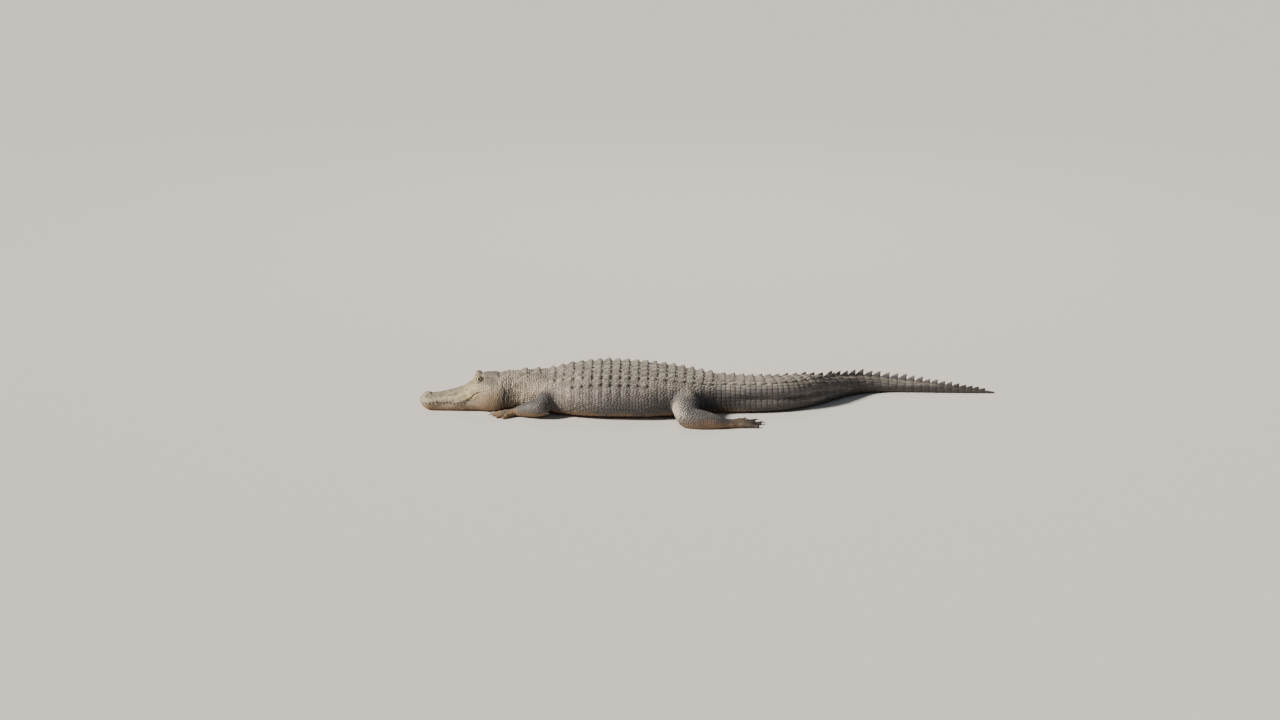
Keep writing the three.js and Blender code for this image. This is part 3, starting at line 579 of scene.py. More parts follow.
# The limbs. A palm has its length and its half widths and half depths at the start, middle and end,
# and a toe its turn outwards in degrees, its reach and the length of its claw. Each limb has its side,
# the places of its joints (distance along the spine, out from it, and height), and the direction of
# its hand or foot in degrees, from headwards turned outwards.
HAND = {
    "palm": (0.064, (0.024, 0.037, 0.034), (0.017, 0.014, 0.009)),
    "toes": [
        (-36, 0.088, 0.020),
        (-17, 0.104, 0.022),
        (2, 0.110, 0.022),
        (21, 0.100, 0),
        (42, 0.080, 0),
    ],
    "thick": 0.009,
    "web": 0.45,
}
FOOT = {
    "palm": (0.104, (0.027, 0.038, 0.040), (0.022, 0.017, 0.011)),
    "toes": [(-24, 0.152, 0.024), (-8, 0.178, 0.026), (8, 0.186, 0.024), (25, 0.166, 0)],
    "thick": 0.010,
    "web": 0.8,
}
ARM = {
    "wide": ((0.054, 0.048, 0.042), (0.042, 0.038, 0.025)),
    "deep": ((0.052, 0.046, 0.041), (0.041, 0.035, 0.020)),
    "end": HAND,
    "names": ("upper_arm", "forearm", "hand"),
}
LEG = {
    "wide": ((0.074, 0.068, 0.055), (0.050, 0.047, 0.030)),
    "deep": ((0.058, 0.058, 0.048), (0.046, 0.043, 0.024)),
    "end": FOOT,
    "names": ("thigh", "shank", "foot"),
}
LIMBS = {
    "left_fore": (-1, ((0.652, 0.116, 0.106), (0.608, 0.196, 0.058), (0.478, 0.146, 0.022)), -1, ARM),
    "right_fore": (1, ((0.640, 0.118, 0.108), (0.640, 0.232, 0.056), (0.508, 0.240, 0.022)), 24, ARM),
    "left_hind": (-1, ((1.322, 0.112, 0.100), (1.352, 0.332, 0.047), (1.528, 0.338, 0.024)), 206, LEG),
    "right_hind": (1, ((1.345, 0.112, 0.100), (1.272, 0.290, 0.070), (1.405, 0.338, 0.025)), 62, LEG),
}
TRAILING = 90
MUSCLE_SWELL = 0.05
WEB_HALF_THICK = 0.0026
WEB_SAG = 0.002
WEB_BOW = 0.18


def unit(direction):
    return direction / np.linalg.norm(direction, axis=-1, keepdims=True)


def three_way(sizes, t):
    """A size that passes through its values at the start, the middle and the end."""
    first, middle, last = sizes
    return first * (1 - t) * (1 - 2 * t) + 4 * middle * t * (1 - t) + last * t * (2 * t - 1)


def swept(path, wide, deep, around, power=2.0):
    """Rings round a path, as wide and deep as given, with ball ends."""
    forward = unit(np.gradient(path, axis=0))
    across = unit(np.cross(forward, [0, 0, 1]))
    over = np.cross(across, forward)
    angle = np.linspace(0, 2 * np.pi, around, endpoint=False)
    c, s = np.cos(angle), np.sin(angle)
    c, s = np.sign(c) * np.abs(c) ** (2 / power), np.sign(s) * np.abs(s) ** (2 / power)
    rings = (
        path[:, None]
        + across[:, None] * (wide[:, None] * s)[..., None]
        + over[:, None] * (deep[:, None] * c)[..., None]
    )
    start, end = [], []
    first, last = min(wide[0], deep[0]), min(wide[-1], deep[-1])
    for turn in np.radians([72, 48, 24]):
        small, back = np.cos(turn), np.sin(turn)
        start.append(path[0] + (rings[0] - path[0]) * small - forward[0] * back * first)
        end.insert(0, path[-1] + (rings[-1] - path[-1]) * small + forward[-1] * back * last)
    return np.concatenate([np.array(start), rings, np.array(end)])


def ahead_way(name, turn):
    """The direction of a toe, by its turn outwards from that of its hand or foot."""
    side, joints, ahead, _ = LIMBS[name]
    angle = np.radians(ahead + (-turn if ahead > TRAILING else turn))
    return way(joints[2][0], -np.cos(angle), side * np.sin(angle), 0)


def toe_path(name, turn, reach, count=14):
    """The middle line of a toe, from inside the palm to its tip."""
    side, joints, _, kind = LIMBS[name]
    end = kind["end"]
    base = beside(joints[2][0], side * joints[2][1], joints[2][2])
    ahead = ahead_way(name, turn)
    start = base + ahead * end["palm"][0] * 0.5
    start[2] = base[2] * 0.3 + end["thick"] * 0.7
    tip = base + ahead * reach
    tip[2] = end["thick"] - 0.0025
    t = np.linspace(0, 1, count)[:, None]
    path = start + (tip - start) * t
    path[:, 2] += 0.004 * np.sin(np.pi * t[:, 0]) ** 2
    return path


limb_rings = {}
toe_rings = {}
flesh = bpy.data.collections.new("flesh")
bpy.context.scene.collection.children.link(flesh)


def set_aside(piece):
    for home in list(piece.users_collection):
        home.objects.unlink(piece)
    flesh.objects.link(piece)


for name, (side, joints, _, kind) in LIMBS.items():
    places = [beside(at, side * out, up) for at, out, up in joints]
    t = np.linspace(0, 1, 24)
    for n, (start, stop) in enumerate(zip(places, places[1:])):
        path = start + (stop - start) * t[:, None]
        wide, deep = (three_way(kind[key][n], t) for key in ("wide", "deep"))
        muscle = 1 + MUSCLE_SWELL * n * bump(t, 0.3, 0.2)
        limb_rings[name, n] = swept(path, wide * muscle, deep * muscle, 44)
        set_aside(closed_tube(f"{name}_{n}", limb_rings[name, n]))

    end = kind["end"]
    base = places[-1]
    reach, palm_wide, palm_deep = end["palm"]
    far = base + ahead_way(name, 0) * reach
    far[2] = palm_deep[2] - 0.001
    t = np.linspace(0, 1, 16)
    path = base + (far - base) * t[:, None]
    palm = swept(path, three_way(palm_wide, t), three_way(palm_deep, t), 28, 2.3)
    limb_rings[name, 2] = palm
    set_aside(closed_tube(f"{name}_palm", palm))
    for n, (turn, toe_reach, _) in enumerate(end["toes"]):
        toe = toe_path(name, turn, toe_reach)
        t = np.linspace(0, 1, len(toe))
        thick = end["thick"] * (1.25 - 0.5 * t + 0.07 * np.cos(t * 6 * np.pi))
        toe_rings[name, n] = swept(toe, thick * 1.05, thick, 18)
        set_aside(closed_tube(f"{name}_toe_{n}", toe_rings[name, n]))
    toes = [toe_path(name, turn, toe_reach) for turn, toe_reach, _ in end["toes"]]
    for n, (a, b) in enumerate(zip(toes, toes[1:])):
        shares = np.linspace(0.02, end["web"], 8)
        rows = np.array([[path[0] + (path[-1] - path[0]) * s for path in (a, b)] for s in shares])
        middle = rows.mean(1)
        middle[:, 2] = rows[:, :, 2].mean(1) - WEB_SAG
        middle = middle - (middle - middle[0]) * WEB_BOW
        left, right = rows[:, 0], rows[:, 1]
        left[:, 2] -= 0.001
        right[:, 2] -= 0.001
        quarter_a, quarter_b = (0.55 * left + 0.45 * middle), (0.55 * right + 0.45 * middle)
        lane = np.stack([left, quarter_a, middle, quarter_b, right], 1)
        above, under = lane.copy(), lane.copy()[:, ::-1]
        above[..., 2] += WEB_HALF_THICK
        under[..., 2] -= WEB_HALF_THICK
        set_aside(closed_tube(f"{name}_web_{n}", np.concatenate([above, under], 1)))

bpy.context.view_layer.objects.active = skin
skin.select_set(True)
join = skin.modifiers.new("join", "BOOLEAN")
join.operation = "UNION"
join.operand_type = "COLLECTION"
join.collection = flesh
join.solver = "MANIFOLD"
bpy.ops.object.modifier_apply(modifier=join.name)
for piece in list(flesh.objects):
    bpy.data.objects.remove(piece)
bpy.data.collections.remove(flesh)

# The joins are drawn smooth: a fillet of flesh at shoulders, hips, knees and elbows, a small one at
# the toes. Then the hide is pressed flat underneath.
FLOOR_GAP = 0.0022
CREASE = -0.42
FILLET = 0.026
TOE_FILLET = 0.006
TOES_REACH = 0.22
LIMB_REACH = 0.42
shape = bmesh.new()
shape.from_mesh(skin.data)
bmesh.ops.triangulate(shape, faces=[f for f in shape.faces if len(f.verts) > 4])
seam = {}
for edge in shape.edges:
    middle = (edge.verts[0].co + edge.verts[1].co) / 2
    if len(edge.link_faces) == 2 and middle.z > 0.003 and edge.calc_face_angle_signed(0) < CREASE:
        for vertex in edge.verts:
            seam[vertex.index] = vertex.co.copy()
wrists = {
    name: (beside(joints[2][0], side * joints[2][1], joints[2][2]), ahead_way(name, 0))
    for name, (side, joints, _, _) in LIMBS.items()
}
seam_tree = KDTree(len(seam))
seam_list = []
for n, place in enumerate(seam.values()):
    away = [(np.array(place) - wrist, ahead) for wrist, ahead in wrists.values()]
    fine = any(gap @ ahead > 0.02 and np.linalg.norm(gap) < TOES_REACH for gap, ahead in away)
    far = min(np.linalg.norm(gap) for gap, _ in away) > LIMB_REACH
    head_side = place.x < beside(in_neck(0.1), 0, 0)[0] and abs(place.y) < 0.13
    seam_list.append(0 if far or head_side else TOE_FILLET if fine else FILLET)
    seam_tree.insert(place, n)
seam_tree.balance()
group = skin.vertex_groups.new(name="joins")
shares = {}
for vertex in shape.verts:
    _, n, distance = seam_tree.find(vertex.co)
    reach = seam_list[n]
    if reach and distance < reach:
        shares[vertex.index] = 1 - (distance / reach) ** 2
shape.to_mesh(skin.data)
shape.free()
for index, share in shares.items():
    group.add([index], share, "REPLACE")
ease = skin.modifiers.new("ease", "SMOOTH")
ease.vertex_group = "joins"
ease.factor = 0.6
ease.iterations = 36
bpy.context.view_layer.objects.active = skin
bpy.ops.object.modifier_apply(modifier=ease.name)
skin.vertex_groups.clear()
points = points_of(skin.data)
points[:, 2] = np.maximum(points[:, 2], FLOOR_GAP)
set_points(skin.data, points)
bpy.ops.object.select_all(action="DESELECT")
skin.select_set(True)
bpy.ops.object.shade_smooth()
bpy.ops.object.mode_set(mode="EDIT")
bpy.ops.mesh.select_all(action="SELECT")
bpy.ops.uv.smart_project(angle_limit=math.radians(66), island_margin=0.002)
bpy.ops.object.mode_set(mode="OBJECT")
skin.data.uv_layers[0].name = "OFBake"
bpy.ops.object.select_all(action="DESELECT")
FLESH_NODES = ["head", "lower_jaw", "neck", "torso", "tail_base", "tail_middle", "tail_end"]
for name, (_, _, _, kind) in LIMBS.items():
    FLESH_NODES += [f"{name.split('_')[0]}_{part}" for part in kind["names"]]
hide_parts(*FLESH_NODES)
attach(skin, "root")


# Hide. The living surface is dry horn over leather: grey-brown with dark seams, cream on the jaw and
# belly, and stained orange-brown with mud low down. Its pale crowns, keels and dust are partly wear and
# partly painted highlight. Light and shade are painted in too: a sunlit tan front and a shaded slate rear,
# painted shade low on the flanks, under the tail and on the forelimbs and shanks, and a sunlit front and a
# shaded rear on the thighs. Each layer of colour lies on the last, by a share that goes by the place on
# the animal, in metres, and by the way it faces.
SUNLIT_TAN = ((0.470, 0.372, 0.283), (0.700, 0.565, 0.430))
SHADED_SLATE = ((0.090, 0.084, 0.090), (0.143, 0.132, 0.138))
BACK = ((0.250, 0.228, 0.190), (0.410, 0.370, 0.300))
CREAM = ((0.42, 0.34, 0.24), (0.58, 0.49, 0.36))
FACE = (0.720, 0.640, 0.330)
FACE_TINT = (1.0, 0.97, 0.74)
SNOUT = (0.640, 0.590, 0.470)
BROW = (0.120, 0.102, 0.086)
CHEEK = (0.240, 0.160, 0.090)
DARK_SCALE = (0.082, 0.068, 0.058)
WORN_AND_LIT_CREST = (0.44, 0.395, 0.330)
WORN_AND_HIGHLIT_KEEL = (0.48, 0.42, 0.33)
DUST_AND_HIGHLIGHT = (0.400, 0.355, 0.295)
MOTTLE = (0.085, 0.066, 0.054)
SHADE = (0.028, 0.028, 0.031)
THIGH_SUNLIT_FRONT = (0.800, 0.700, 0.550)
THIGH_SHADED_REAR = (0.052, 0.055, 0.060)
SHADED_SHANK = (0.085, 0.062, 0.048)
SHADED_FORELIMB = (0.044, 0.047, 0.050)
SEAM = (0.055, 0.045, 0.038)
MUD = (0.215, 0.125, 0.062)
GRAIN = (0.055, 0.046, 0.040)
SHINE = 0.42


class Finish:
    """A material in the making. Each way to add a node gives back what the node puts out."""

    def __init__(self, name):
        self.material = bpy.data.materials.new(name)
        self.material.use_nodes = True
        self.tree = self.material.node_tree
        self.shader = self.tree.nodes["Principled BSDF"]
        self.place = self.node("ShaderNodeTexCoord").outputs["Object"]

    def node(self, kind, **settings):
        made = self.tree.nodes.new(kind)
        for key, value in settings.items():
            setattr(made, key, value)
        return made

    def feed(self, sockets, *values):
        for socket, value in zip(sockets, values):
            if isinstance(value, bpy.types.NodeSocket):
                self.tree.links.new(value, socket)
            else:
                socket.default_value = value

    def surface(self, **looks):
        for key, value in looks.items():
            self.feed([self.shader.inputs[key.replace("_", " ").title()]], value)

    def maths(self, operation, *values):
        made = self.node("ShaderNodeMath", operation=operation)
        self.feed(made.inputs, *values)
        return made.outputs[0]

    def times(self, first, second):
        return self.maths("MULTIPLY", first, second)

    def plus(self, first, second):
        return self.maths("ADD", first, second)

    def vector(self, operation, *values, out=0):
        made = self.node("ShaderNodeVectorMath", operation=operation)
        self.feed(made.inputs, *values)
        return made.outputs[out]

    def parts(self, vector):
        made = self.node("ShaderNodeSeparateXYZ")
        self.feed(made.inputs, vector)
        return made.outputs

    def ramp(self, value, low, high, to_low=0.0, to_high=1.0, way="SMOOTHSTEP"):
        made = self.node("ShaderNodeMapRange", interpolation_type=way)
        self.feed(made.inputs, value, low, high, to_low, to_high)
        return made.outputs[0]

    def mix(self, share, first, second, blend="MIX"):
        made = self.node("ShaderNodeMix", data_type="RGBA", blend_type=blend)
        colours = [(*value, 1) if isinstance(value, tuple) else value for value in (first, second)]
        self.feed([made.inputs["Factor"], made.inputs[6], made.inputs[7]], share, *colours)
        return made.outputs[2]

    def tint(self, value, low, dark, high, pale):
        made = self.node("ShaderNodeValToRGB")
        self.feed(made.inputs, value)
        for n, (position, colour) in enumerate(((low, dark), (high, pale))):
            made.color_ramp.elements[n].position = position
            made.color_ramp.elements[n].color = (*colour, 1)
        return made.outputs[0]

    def noise(self, scale, detail=4.0, rough=0.55, where=None):
        made = self.node("ShaderNodeTexNoise")
        named = [made.inputs[key] for key in ("Vector", "Scale", "Detail", "Roughness")]
        self.feed(named, self.place if where is None else where, scale, detail, rough)
        return made.outputs[0]

    def cells(self, scale, feature):
        made = self.node("ShaderNodeTexVoronoi", feature=feature)
        self.feed([made.inputs["Vector"], made.inputs["Scale"]], self.place, scale)
        return made.outputs[0]

    def emboss(self, height, strength, distance):
        made = self.node("ShaderNodeBump")
        named = [made.inputs[key] for key in ("Height", "Strength", "Distance")]
        self.feed(named, height, strength, distance)
        self.surface(normal=made.outputs[0])


def hide_finish():
    look = Finish("hide")
    maths, times, plus, ramp, mix, noise = (
        look.maths, look.times, look.plus, look.ramp, look.mix, look.noise
    )
    x, y, z = look.parts(look.place)
    ahead, _, up = look.parts(look.node("ShaderNodeNewGeometry").outputs["Normal"])
    rise, chance, armour = (
        look.node("ShaderNodeAttribute", attribute_name=key).outputs["Fac"]
        for key in ("rise", "chance", "armour")
    )
    broad, patch, fine, grain = noise(2.6, 3), noise(14), noise(70), noise(420, 5, 0.65)

    # Painted light on the flank: tan towards the head, painted as sunlit, and dark slate behind, painted
    # as in shade.
    tan = mix(ramp(patch, 0.35, 0.65), *SUNLIT_TAN)
    slate = mix(ramp(patch, 0.35, 0.65), *SHADED_SLATE)
    front = ramp(plus(x, times(broad, 0.7)), 0.27, -0.48)
    flank = mix(front, slate, tan)
    snout = ramp(plus(x, times(patch, 0.06)), -0.88, -1.02)
    face = times(ramp(x, -0.74, -0.84), ramp(z, 0.055, 0.085))
    flank = mix(times(face, 0.78), flank, FACE)
    flank = mix(times(snout, 0.62), flank, SNOUT)
    back = mix(ramp(patch, 0.3, 0.7), *BACK)
    colour = mix(ramp(plus(up, times(patch, 0.35)), 0.65, 1.15), flank, back)
    under = times(ramp(z, 0.080, 0.015), ramp(up, 0.05, -0.6))
    cream = mix(ramp(fine, 0.3, 0.7), *CREAM)
    colour = mix(times(under, 0.85), colour, cream)
    chin = plus(z, times(patch, 0.03))
    jaw = times(ramp(x, -0.66, -0.80), ramp(chin, 0.110, 0.055))
    colour = mix(times(jaw, 0.55), colour, cream)

    colour = mix(ramp(chance, 0.1, 1.0, 0.0, 0.36), colour, DARK_SCALE)
    # Pale crowns of the scales, pale keels of the plates and pale dust: partly wear and dust, partly
    # painted highlight, the crowns and dust strongest on the sunlit front and on faces turned up.
    lit = maths("MAXIMUM", front, ramp(up, 0.25, 0.75))
    crest = times(ramp(rise, 0.62, 1.0), ramp(fine, 0.25, 0.7, 0.10, 0.40))
    crest = times(crest, ramp(lit, 0.0, 1.0, 0.30, 1.0))
    colour = mix(crest, colour, WORN_AND_LIT_CREST)
    keel = times(armour, ramp(rise, 0.45, 0.95, 0.0, 0.7))
    colour = mix(keel, colour, WORN_AND_HIGHLIT_KEEL)
    dust_and_highlight = times(ramp(noise(34, 6, 0.7), 0.54, 0.74), ramp(up, -0.2, 0.8, 0.05, 0.34))
    dust_and_highlight = times(dust_and_highlight, ramp(lit, 0.0, 1.0, 0.30, 1.0))
    colour = mix(dust_and_highlight, colour, DUST_AND_HIGHLIGHT)
    mottle = noise(46, 4, 0.6)
    colour = mix(ramp(mottle, 0.58, 0.38, 0.0, 0.52), colour, MOTTLE)
    cheek = times(ramp(x, -0.88, -0.76), ramp(x, -0.60, -0.68))
    cheek = times(cheek, ramp(chin, 0.175, 0.110))
    colour = mix(times(cheek, ramp(mottle, 0.35, 0.60, 0.45, 0.85)), colour, CHEEK)

    out = maths("ABSOLUTE", y)
    # Painted shade: darker low on the flanks, more so towards the rear, and along the underside of the
    # tail where it meets the ground, but not on the thighs.
    dark = plus(ramp(x, -0.35, 0.10, 0.0, 0.26), ramp(x, -0.56, -0.40, 0.0, 0.63))
    dark = times(dark, ramp(x, 0.66, 0.46, 0.38, 1.0))
    height = plus(z, times(patch, 0.04))
    shade = times(dark, ramp(height, 0.168, 0.072))
    tail_underside_shade = times(ramp(x, 0.36, 0.55, 0.0, 0.96), ramp(height, 0.074, 0.052))
    shade = maths("MAXIMUM", shade, tail_underside_shade)
    leg = times(ramp(out, 0.235, 0.275), ramp(x, 0.42, 0.30))
    leg = times(leg, ramp(x, 0.11, 0.16))
    shade = times(shade, maths("SUBTRACT", 1.0, times(leg, 0.85)))
    colour = mix(shade, colour, SHADE)
    # Painted light on the thighs: a pale sunlit sheen painted on the front that faces the sun, and painted
    # shade on the rear.
    thigh_shade_zone = times(leg, ramp(z, 0.050, 0.085))
    colour = mix(times(leg, ramp(ahead, -0.50, -0.80, 0.0, 0.80)), colour, THIGH_SUNLIT_FRONT)
    colour = mix(times(thigh_shade_zone, ramp(ahead, -0.64, -0.30, 0.0, 0.84)), colour, THIGH_SHADED_REAR)
    # Painted shade on the shanks: dark brown low down and on faces not turned up.
    shank = times(ramp(z, 0.075, 0.045), ramp(up, 0.55, 0.05, 0.0, 0.72))
    colour = mix(times(leg, shank), colour, SHADED_SHANK)
    # Painted shade on the forelimbs: the upper arm and forearm darkened to grey-black.
    forelimb_shade = maths("SUBTRACT", out, times(plus(x, 0.45), 0.23))
    forelimb_shade = times(ramp(forelimb_shade, 0.150, 0.182), ramp(x, -0.38, -0.45))
    forelimb_shade = times(forelimb_shade, ramp(x, -0.73, -0.66))
    colour = mix(times(forelimb_shade, 0.88), colour, SHADED_FORELIMB)

    seam = times(ramp(rise, 0.42, 0.0, 0.0, 0.55), ramp(x, 0.15, 0.35, 1.0, 0.35))
    colour = mix(seam, colour, SEAM)
    mud_line = plus(z, times(maths("SUBTRACT", patch, 0.5), 0.10))
    mud = times(ramp(mud_line, 0.046, 0.010), ramp(fine, 0.25, 0.6, 0.35, 0.95))
    mud = times(mud, ramp(x, 0.62, 0.38, 0.10, 1.0))
    colour = mix(mud, colour, MUD)
    colour = mix(ramp(grain, 0.35, 0.7, 0.25, 0.0), colour, GRAIN)
    colour = mix(times(face, 0.5), colour, FACE_TINT, "MULTIPLY")
    brow = times(ramp(z, 0.136, 0.152), ramp(x, -0.845, -0.820))
    brow = times(brow, ramp(x, -0.70, -0.74))
    colour = mix(times(brow, ramp(patch, 0.3, 0.7, 0.75, 0.45)), colour, BROW)
    roughness = plus(ramp(fine, 0.3, 0.7, 0.48, 0.70), times(mud, 0.15))
    roughness = maths("SUBTRACT", roughness, times(rise, 0.06))
    look.surface(base_color=colour, roughness=roughness)
    look.feed([look.shader.inputs["Specular IOR Level"]], SHINE)

    pits, cracks = look.cells(190, "SMOOTH_F1"), look.cells(480, "DISTANCE_TO_EDGE")
    height = plus(times(grain, 0.35), times(fine, 0.8))
    height = plus(height, times(ramp(cracks, 0.0, 0.14), 0.045))
    pitted = times(armour, ramp(pits, 0.10, 0.55))
    look.emboss(plus(height, times(pitted, 0.9)), 0.75, 0.0016)
    return look.material


hide = hide_finish()
skin.data.materials.clear()
skin.data.materials.append(hide)


# Lids and nostril rims. Smooth thick margins of bare hide, one round each eye and each nostril, grown
# from the skin. Like the plates and scales they are made of rows of points, set on the nearest skin.
skin_tree = BVHTree.FromObject(skin, bpy.context.evaluated_depsgraph_get())
vertex_normals = np.zeros(3 * len(skin.data.vertices), np.float32)
skin.data.vertices.foreach_get("normal", vertex_normals)
vertex_normals = vertex_normals.reshape(-1, 3)
face_normals = np.array([vertex_normals[list(face.vertices)].mean(0) for face in skin.data.polygons])
skin_uv = np.zeros(2 * len(skin.data.loops), np.float32)
skin.data.uv_layers["OFBake"].data.foreach_get("uv", skin_uv)
skin_uv = skin_uv.reshape(-1, 2)
face_uv = np.array([
    skin_uv[face.loop_start : face.loop_start + face.loop_total].mean(0) for face in skin.data.polygons
])


def to_skin(points):
    """The nearest places of the skin, the way it faces there, how far off they are, and the faces."""
    flat = points.reshape(-1, 3)
    places, faces, gaps = np.empty((len(flat), 3)), np.empty(len(flat), int), np.empty(len(flat))
    for n, point in enumerate(flat.tolist()):
        place, _, faces[n], gaps[n] = skin_tree.find_nearest(point)
        places[n] = place
    places, facing = (found.reshape(points.shape) for found in (places, unit(face_normals[faces])))
    return places, facing, gaps.reshape(points.shape[:-1]), faces.reshape(points.shape[:-1])


def on_body(at, around):
    """Points of the body by distance along the spine and round it from the middle of the back."""
    at, around = np.broadcast_arrays(np.asarray(at, float), np.asarray(around, float))
    row = np.clip(np.interp(at, body_rings, np.arange(len(body_rings))), 0, len(body_rings) - 1.001)
    column = np.clip(np.abs(around) / np.interp(at, body_rings, girths) * EVEN, 0, EVEN - 1e-6)
    i, j = row.astype(int), column.astype(int)
    t, u = row - i, column - j

    def blend(table):
        first = table[i, j] * (1 - u) + table[i, j + 1] * u
        second = table[i + 1, j] * (1 - u) + table[i + 1, j + 1] * u
        return first * (1 - t) + second * t

    return beside(at, np.where(around < 0, -1, 1) * blend(even_side), blend(even_up))


def sheet_of(name, grids, marks, patches, tip=None, closed=False, material=None):
    """One mesh from many like grids of points: rows x columns each, closed round or up to a tip."""
    count, rows, columns = grids.shape[:3]
    closed = closed or tip is not None
    per = rows * columns + (tip is not None)
    points = grids.reshape(count, rows * columns, 3)
    if tip is not None:
        points = np.concatenate([points, tip[:, None]], 1)
    points[..., 2] = np.maximum(points[..., 2], 0)
    r, c = np.meshgrid(np.arange(rows - 1), np.arange(columns if closed else columns - 1), indexing="ij")
    r, c = r.ravel(), c.ravel()
    here, beyond = r * columns + c, r * columns + (c + 1) % columns
    quads = np.stack([here, beyond, beyond + columns, here + columns], 1)
    faces = (quads[None] + per * np.arange(count)[:, None, None]).reshape(-1)
    sizes = np.full(count * len(quads), 4)
    if tip is not None:
        c = np.arange(columns)
        last = (rows - 1) * columns
        fan = np.stack([last + c, last + (c + 1) % columns, np.full(columns, per - 1)], 1)
        faces = np.concatenate([faces, (fan[None] + per * np.arange(count)[:, None, None]).reshape(-1)])
        sizes = np.concatenate([sizes, np.full(count * columns, 3)])
    mesh = bpy.data.meshes.new(name)
    mesh.vertices.add(count * per)
    mesh.vertices.foreach_set("co", points.reshape(-1).astype(np.float32))
    mesh.loops.add(len(faces))
    mesh.loops.foreach_set("vertex_index", faces.astype(np.int32))
    mesh.polygons.add(len(sizes))
    mesh.polygons.foreach_set("loop_start", np.r_[0, np.cumsum(sizes)[:-1]].astype(np.int32))
    mesh.polygons.foreach_set("use_smooth", np.ones(len(sizes), bool))
    mesh.update(calc_edges=True)
    for key, values in marks.items():
        layer = mesh.attributes.new(key, "FLOAT", "POINT")
        spread = np.broadcast_to(values.reshape(count, -1), (count, per))
        layer.data.foreach_set("value", spread.reshape(-1).astype(np.float32))
    layer = mesh.uv_layers.new(name="OFBake")
    layer.data.foreach_set("uv", patches.reshape(count * per, 2)[faces].reshape(-1).astype(np.float32))
    mesh.materials.append(material or hide)
    piece = bpy.data.objects.new(name, mesh)
    bpy.context.scene.collection.objects.link(piece)
    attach(piece, "root")


# A row of a lid has its distance from the edge of the opening and from the middle of the eye. A row
# of a nostril rim has its size as a multiple of the opening, and its height above the skin.
LID_ROWS = [
    (0.0048, 0.0162),
    (0.0034, 0.0177),
    (0.0021, 0.0183),
    (0.0011, 0.0181),
    (0.0002, 0.0173),
    (-0.0005, 0.0160),
    (-0.0009, 0.0146),
]
NOSTRIL_ROWS = [
    (1.90, -0.0010),
    (1.70, 0.0003),
    (1.45, 0.0013),
    (1.22, 0.0016),
    (1.04, 0.0008),
    (0.90, -0.0008),
    (0.70, -0.0032),
    (0.45, -0.0052),
]
RIM_COLUMNS = 72
RIM_PATCH = 0.0015
LID_HEAVY = 0.0009
round_turn = np.linspace(0, 2 * np.pi, RIM_COLUMNS, endpoint=False)


def margin(name, rows):
    """A ring of hide round an opening, through its rows of points."""
    grid = np.stack(rows)[None]
    _, _, _, root = to_skin(grid[0, 0, :1])
    flat = RIM_PATCH * np.stack([np.cos(round_turn), np.sin(round_turn)], 1)
    patches = np.concatenate([face_uv[root] + flat * (1 - n / len(rows)) for n in range(len(rows))])[None]
    rises = np.repeat(np.linspace(0.62, 0.25, len(rows)), RIM_COLUMNS)[None]
    sheet_of(name, grid, {"rise": rises}, patches, closed=True)


for name, side in (("left", -1), ("right", 1)):
    centre, out, along, over = eye_frame(side)
    turns = round_turn * np.sign(np.cross(along, over) @ out)
    c, s = np.cos(turns), np.sin(turns)
    a = EYE_LONG * np.sign(c) * np.abs(c) ** (2 / ALMOND)
    u = np.where(s > 0, EYE_TALL, EYE_TALL * LOWER_LID) * np.sign(s) * np.abs(s) ** (2 / ALMOND)
    flat = np.hypot(a, u)
    rows = []
    for beyond, far in LID_ROWS:
        angle = np.arcsin(flat / EYE_SIZE) + beyond / EYE_SIZE
        lay = (a / flat)[:, None] * along + (u / flat)[:, None] * over
        ray = np.sin(angle)[:, None] * lay + np.cos(angle)[:, None] * out
        heavy = LID_HEAVY * bump(beyond, 0.0015, 0.0018) * np.maximum(s, 0)
        rows.append(centre + ray * (far + heavy)[:, None])
    margin(f"{name}_lids", rows)

    centre, along, across = nostril_frame(side)
    turns = round_turn * side
    planes = []
    for lens, _ in NOSTRIL_ROWS:
        a = lens * NOSTRIL_LONG * np.cos(turns)
        b = lens * NOSTRIL_WIDE * np.sin(turns) - NOSTRIL_BOW * a * a
        planes.append(centre + a[:, None] * along + b[:, None] * across)
    rim, _, _, _ = to_skin(planes[0])
    table = np.c_[planes[0][:, :2] - centre[:2], np.ones(RIM_COLUMNS)]
    lie, _, _, _ = np.linalg.lstsq(table, rim[:, 2], rcond=None)
    rows = []
    for (lens, high), flat in zip(NOSTRIL_ROWS, planes):
        level = np.c_[flat[:, :2] - centre[:2], np.ones(RIM_COLUMNS)] @ lie
        on_skin, _, _, _ = to_skin(flat)
        share = smoothstep(lens, 1.25, 1.9)
        flat[:, 2] = level * (1 - share) + on_skin[:, 2] * share + high
        rows.append(flat)
    margin(f"{name}_nostril", rows)


# Armour. Bony plates in the hide of the neck, back and tail, each with a keel that rises to the rear,
# in cross rows a vertebra apart. They grow in the hide and stand on it, their rims sunk in it.
random = np.random.default_rng(7)
PLATE_ROWS = 15
PLATE_EDGE = 5.0
RIM_SINK = 0.0015
SIZE_STRAY = (0.03, 0.04, 0.14)
PLATE_PATCH = 0.004
INNER_BROAD = 0.027
# Place along the spine and width of one lengthwise row of plates
COLUMN_WIDTHS = np.array([
    (in_trunk(0), 0.038),
    (in_trunk(0.2), 0.059),
    (in_trunk(0.5), 0.062),
    (in_trunk(0.72), 0.057),
    (in_trunk(1), 0.038),
])
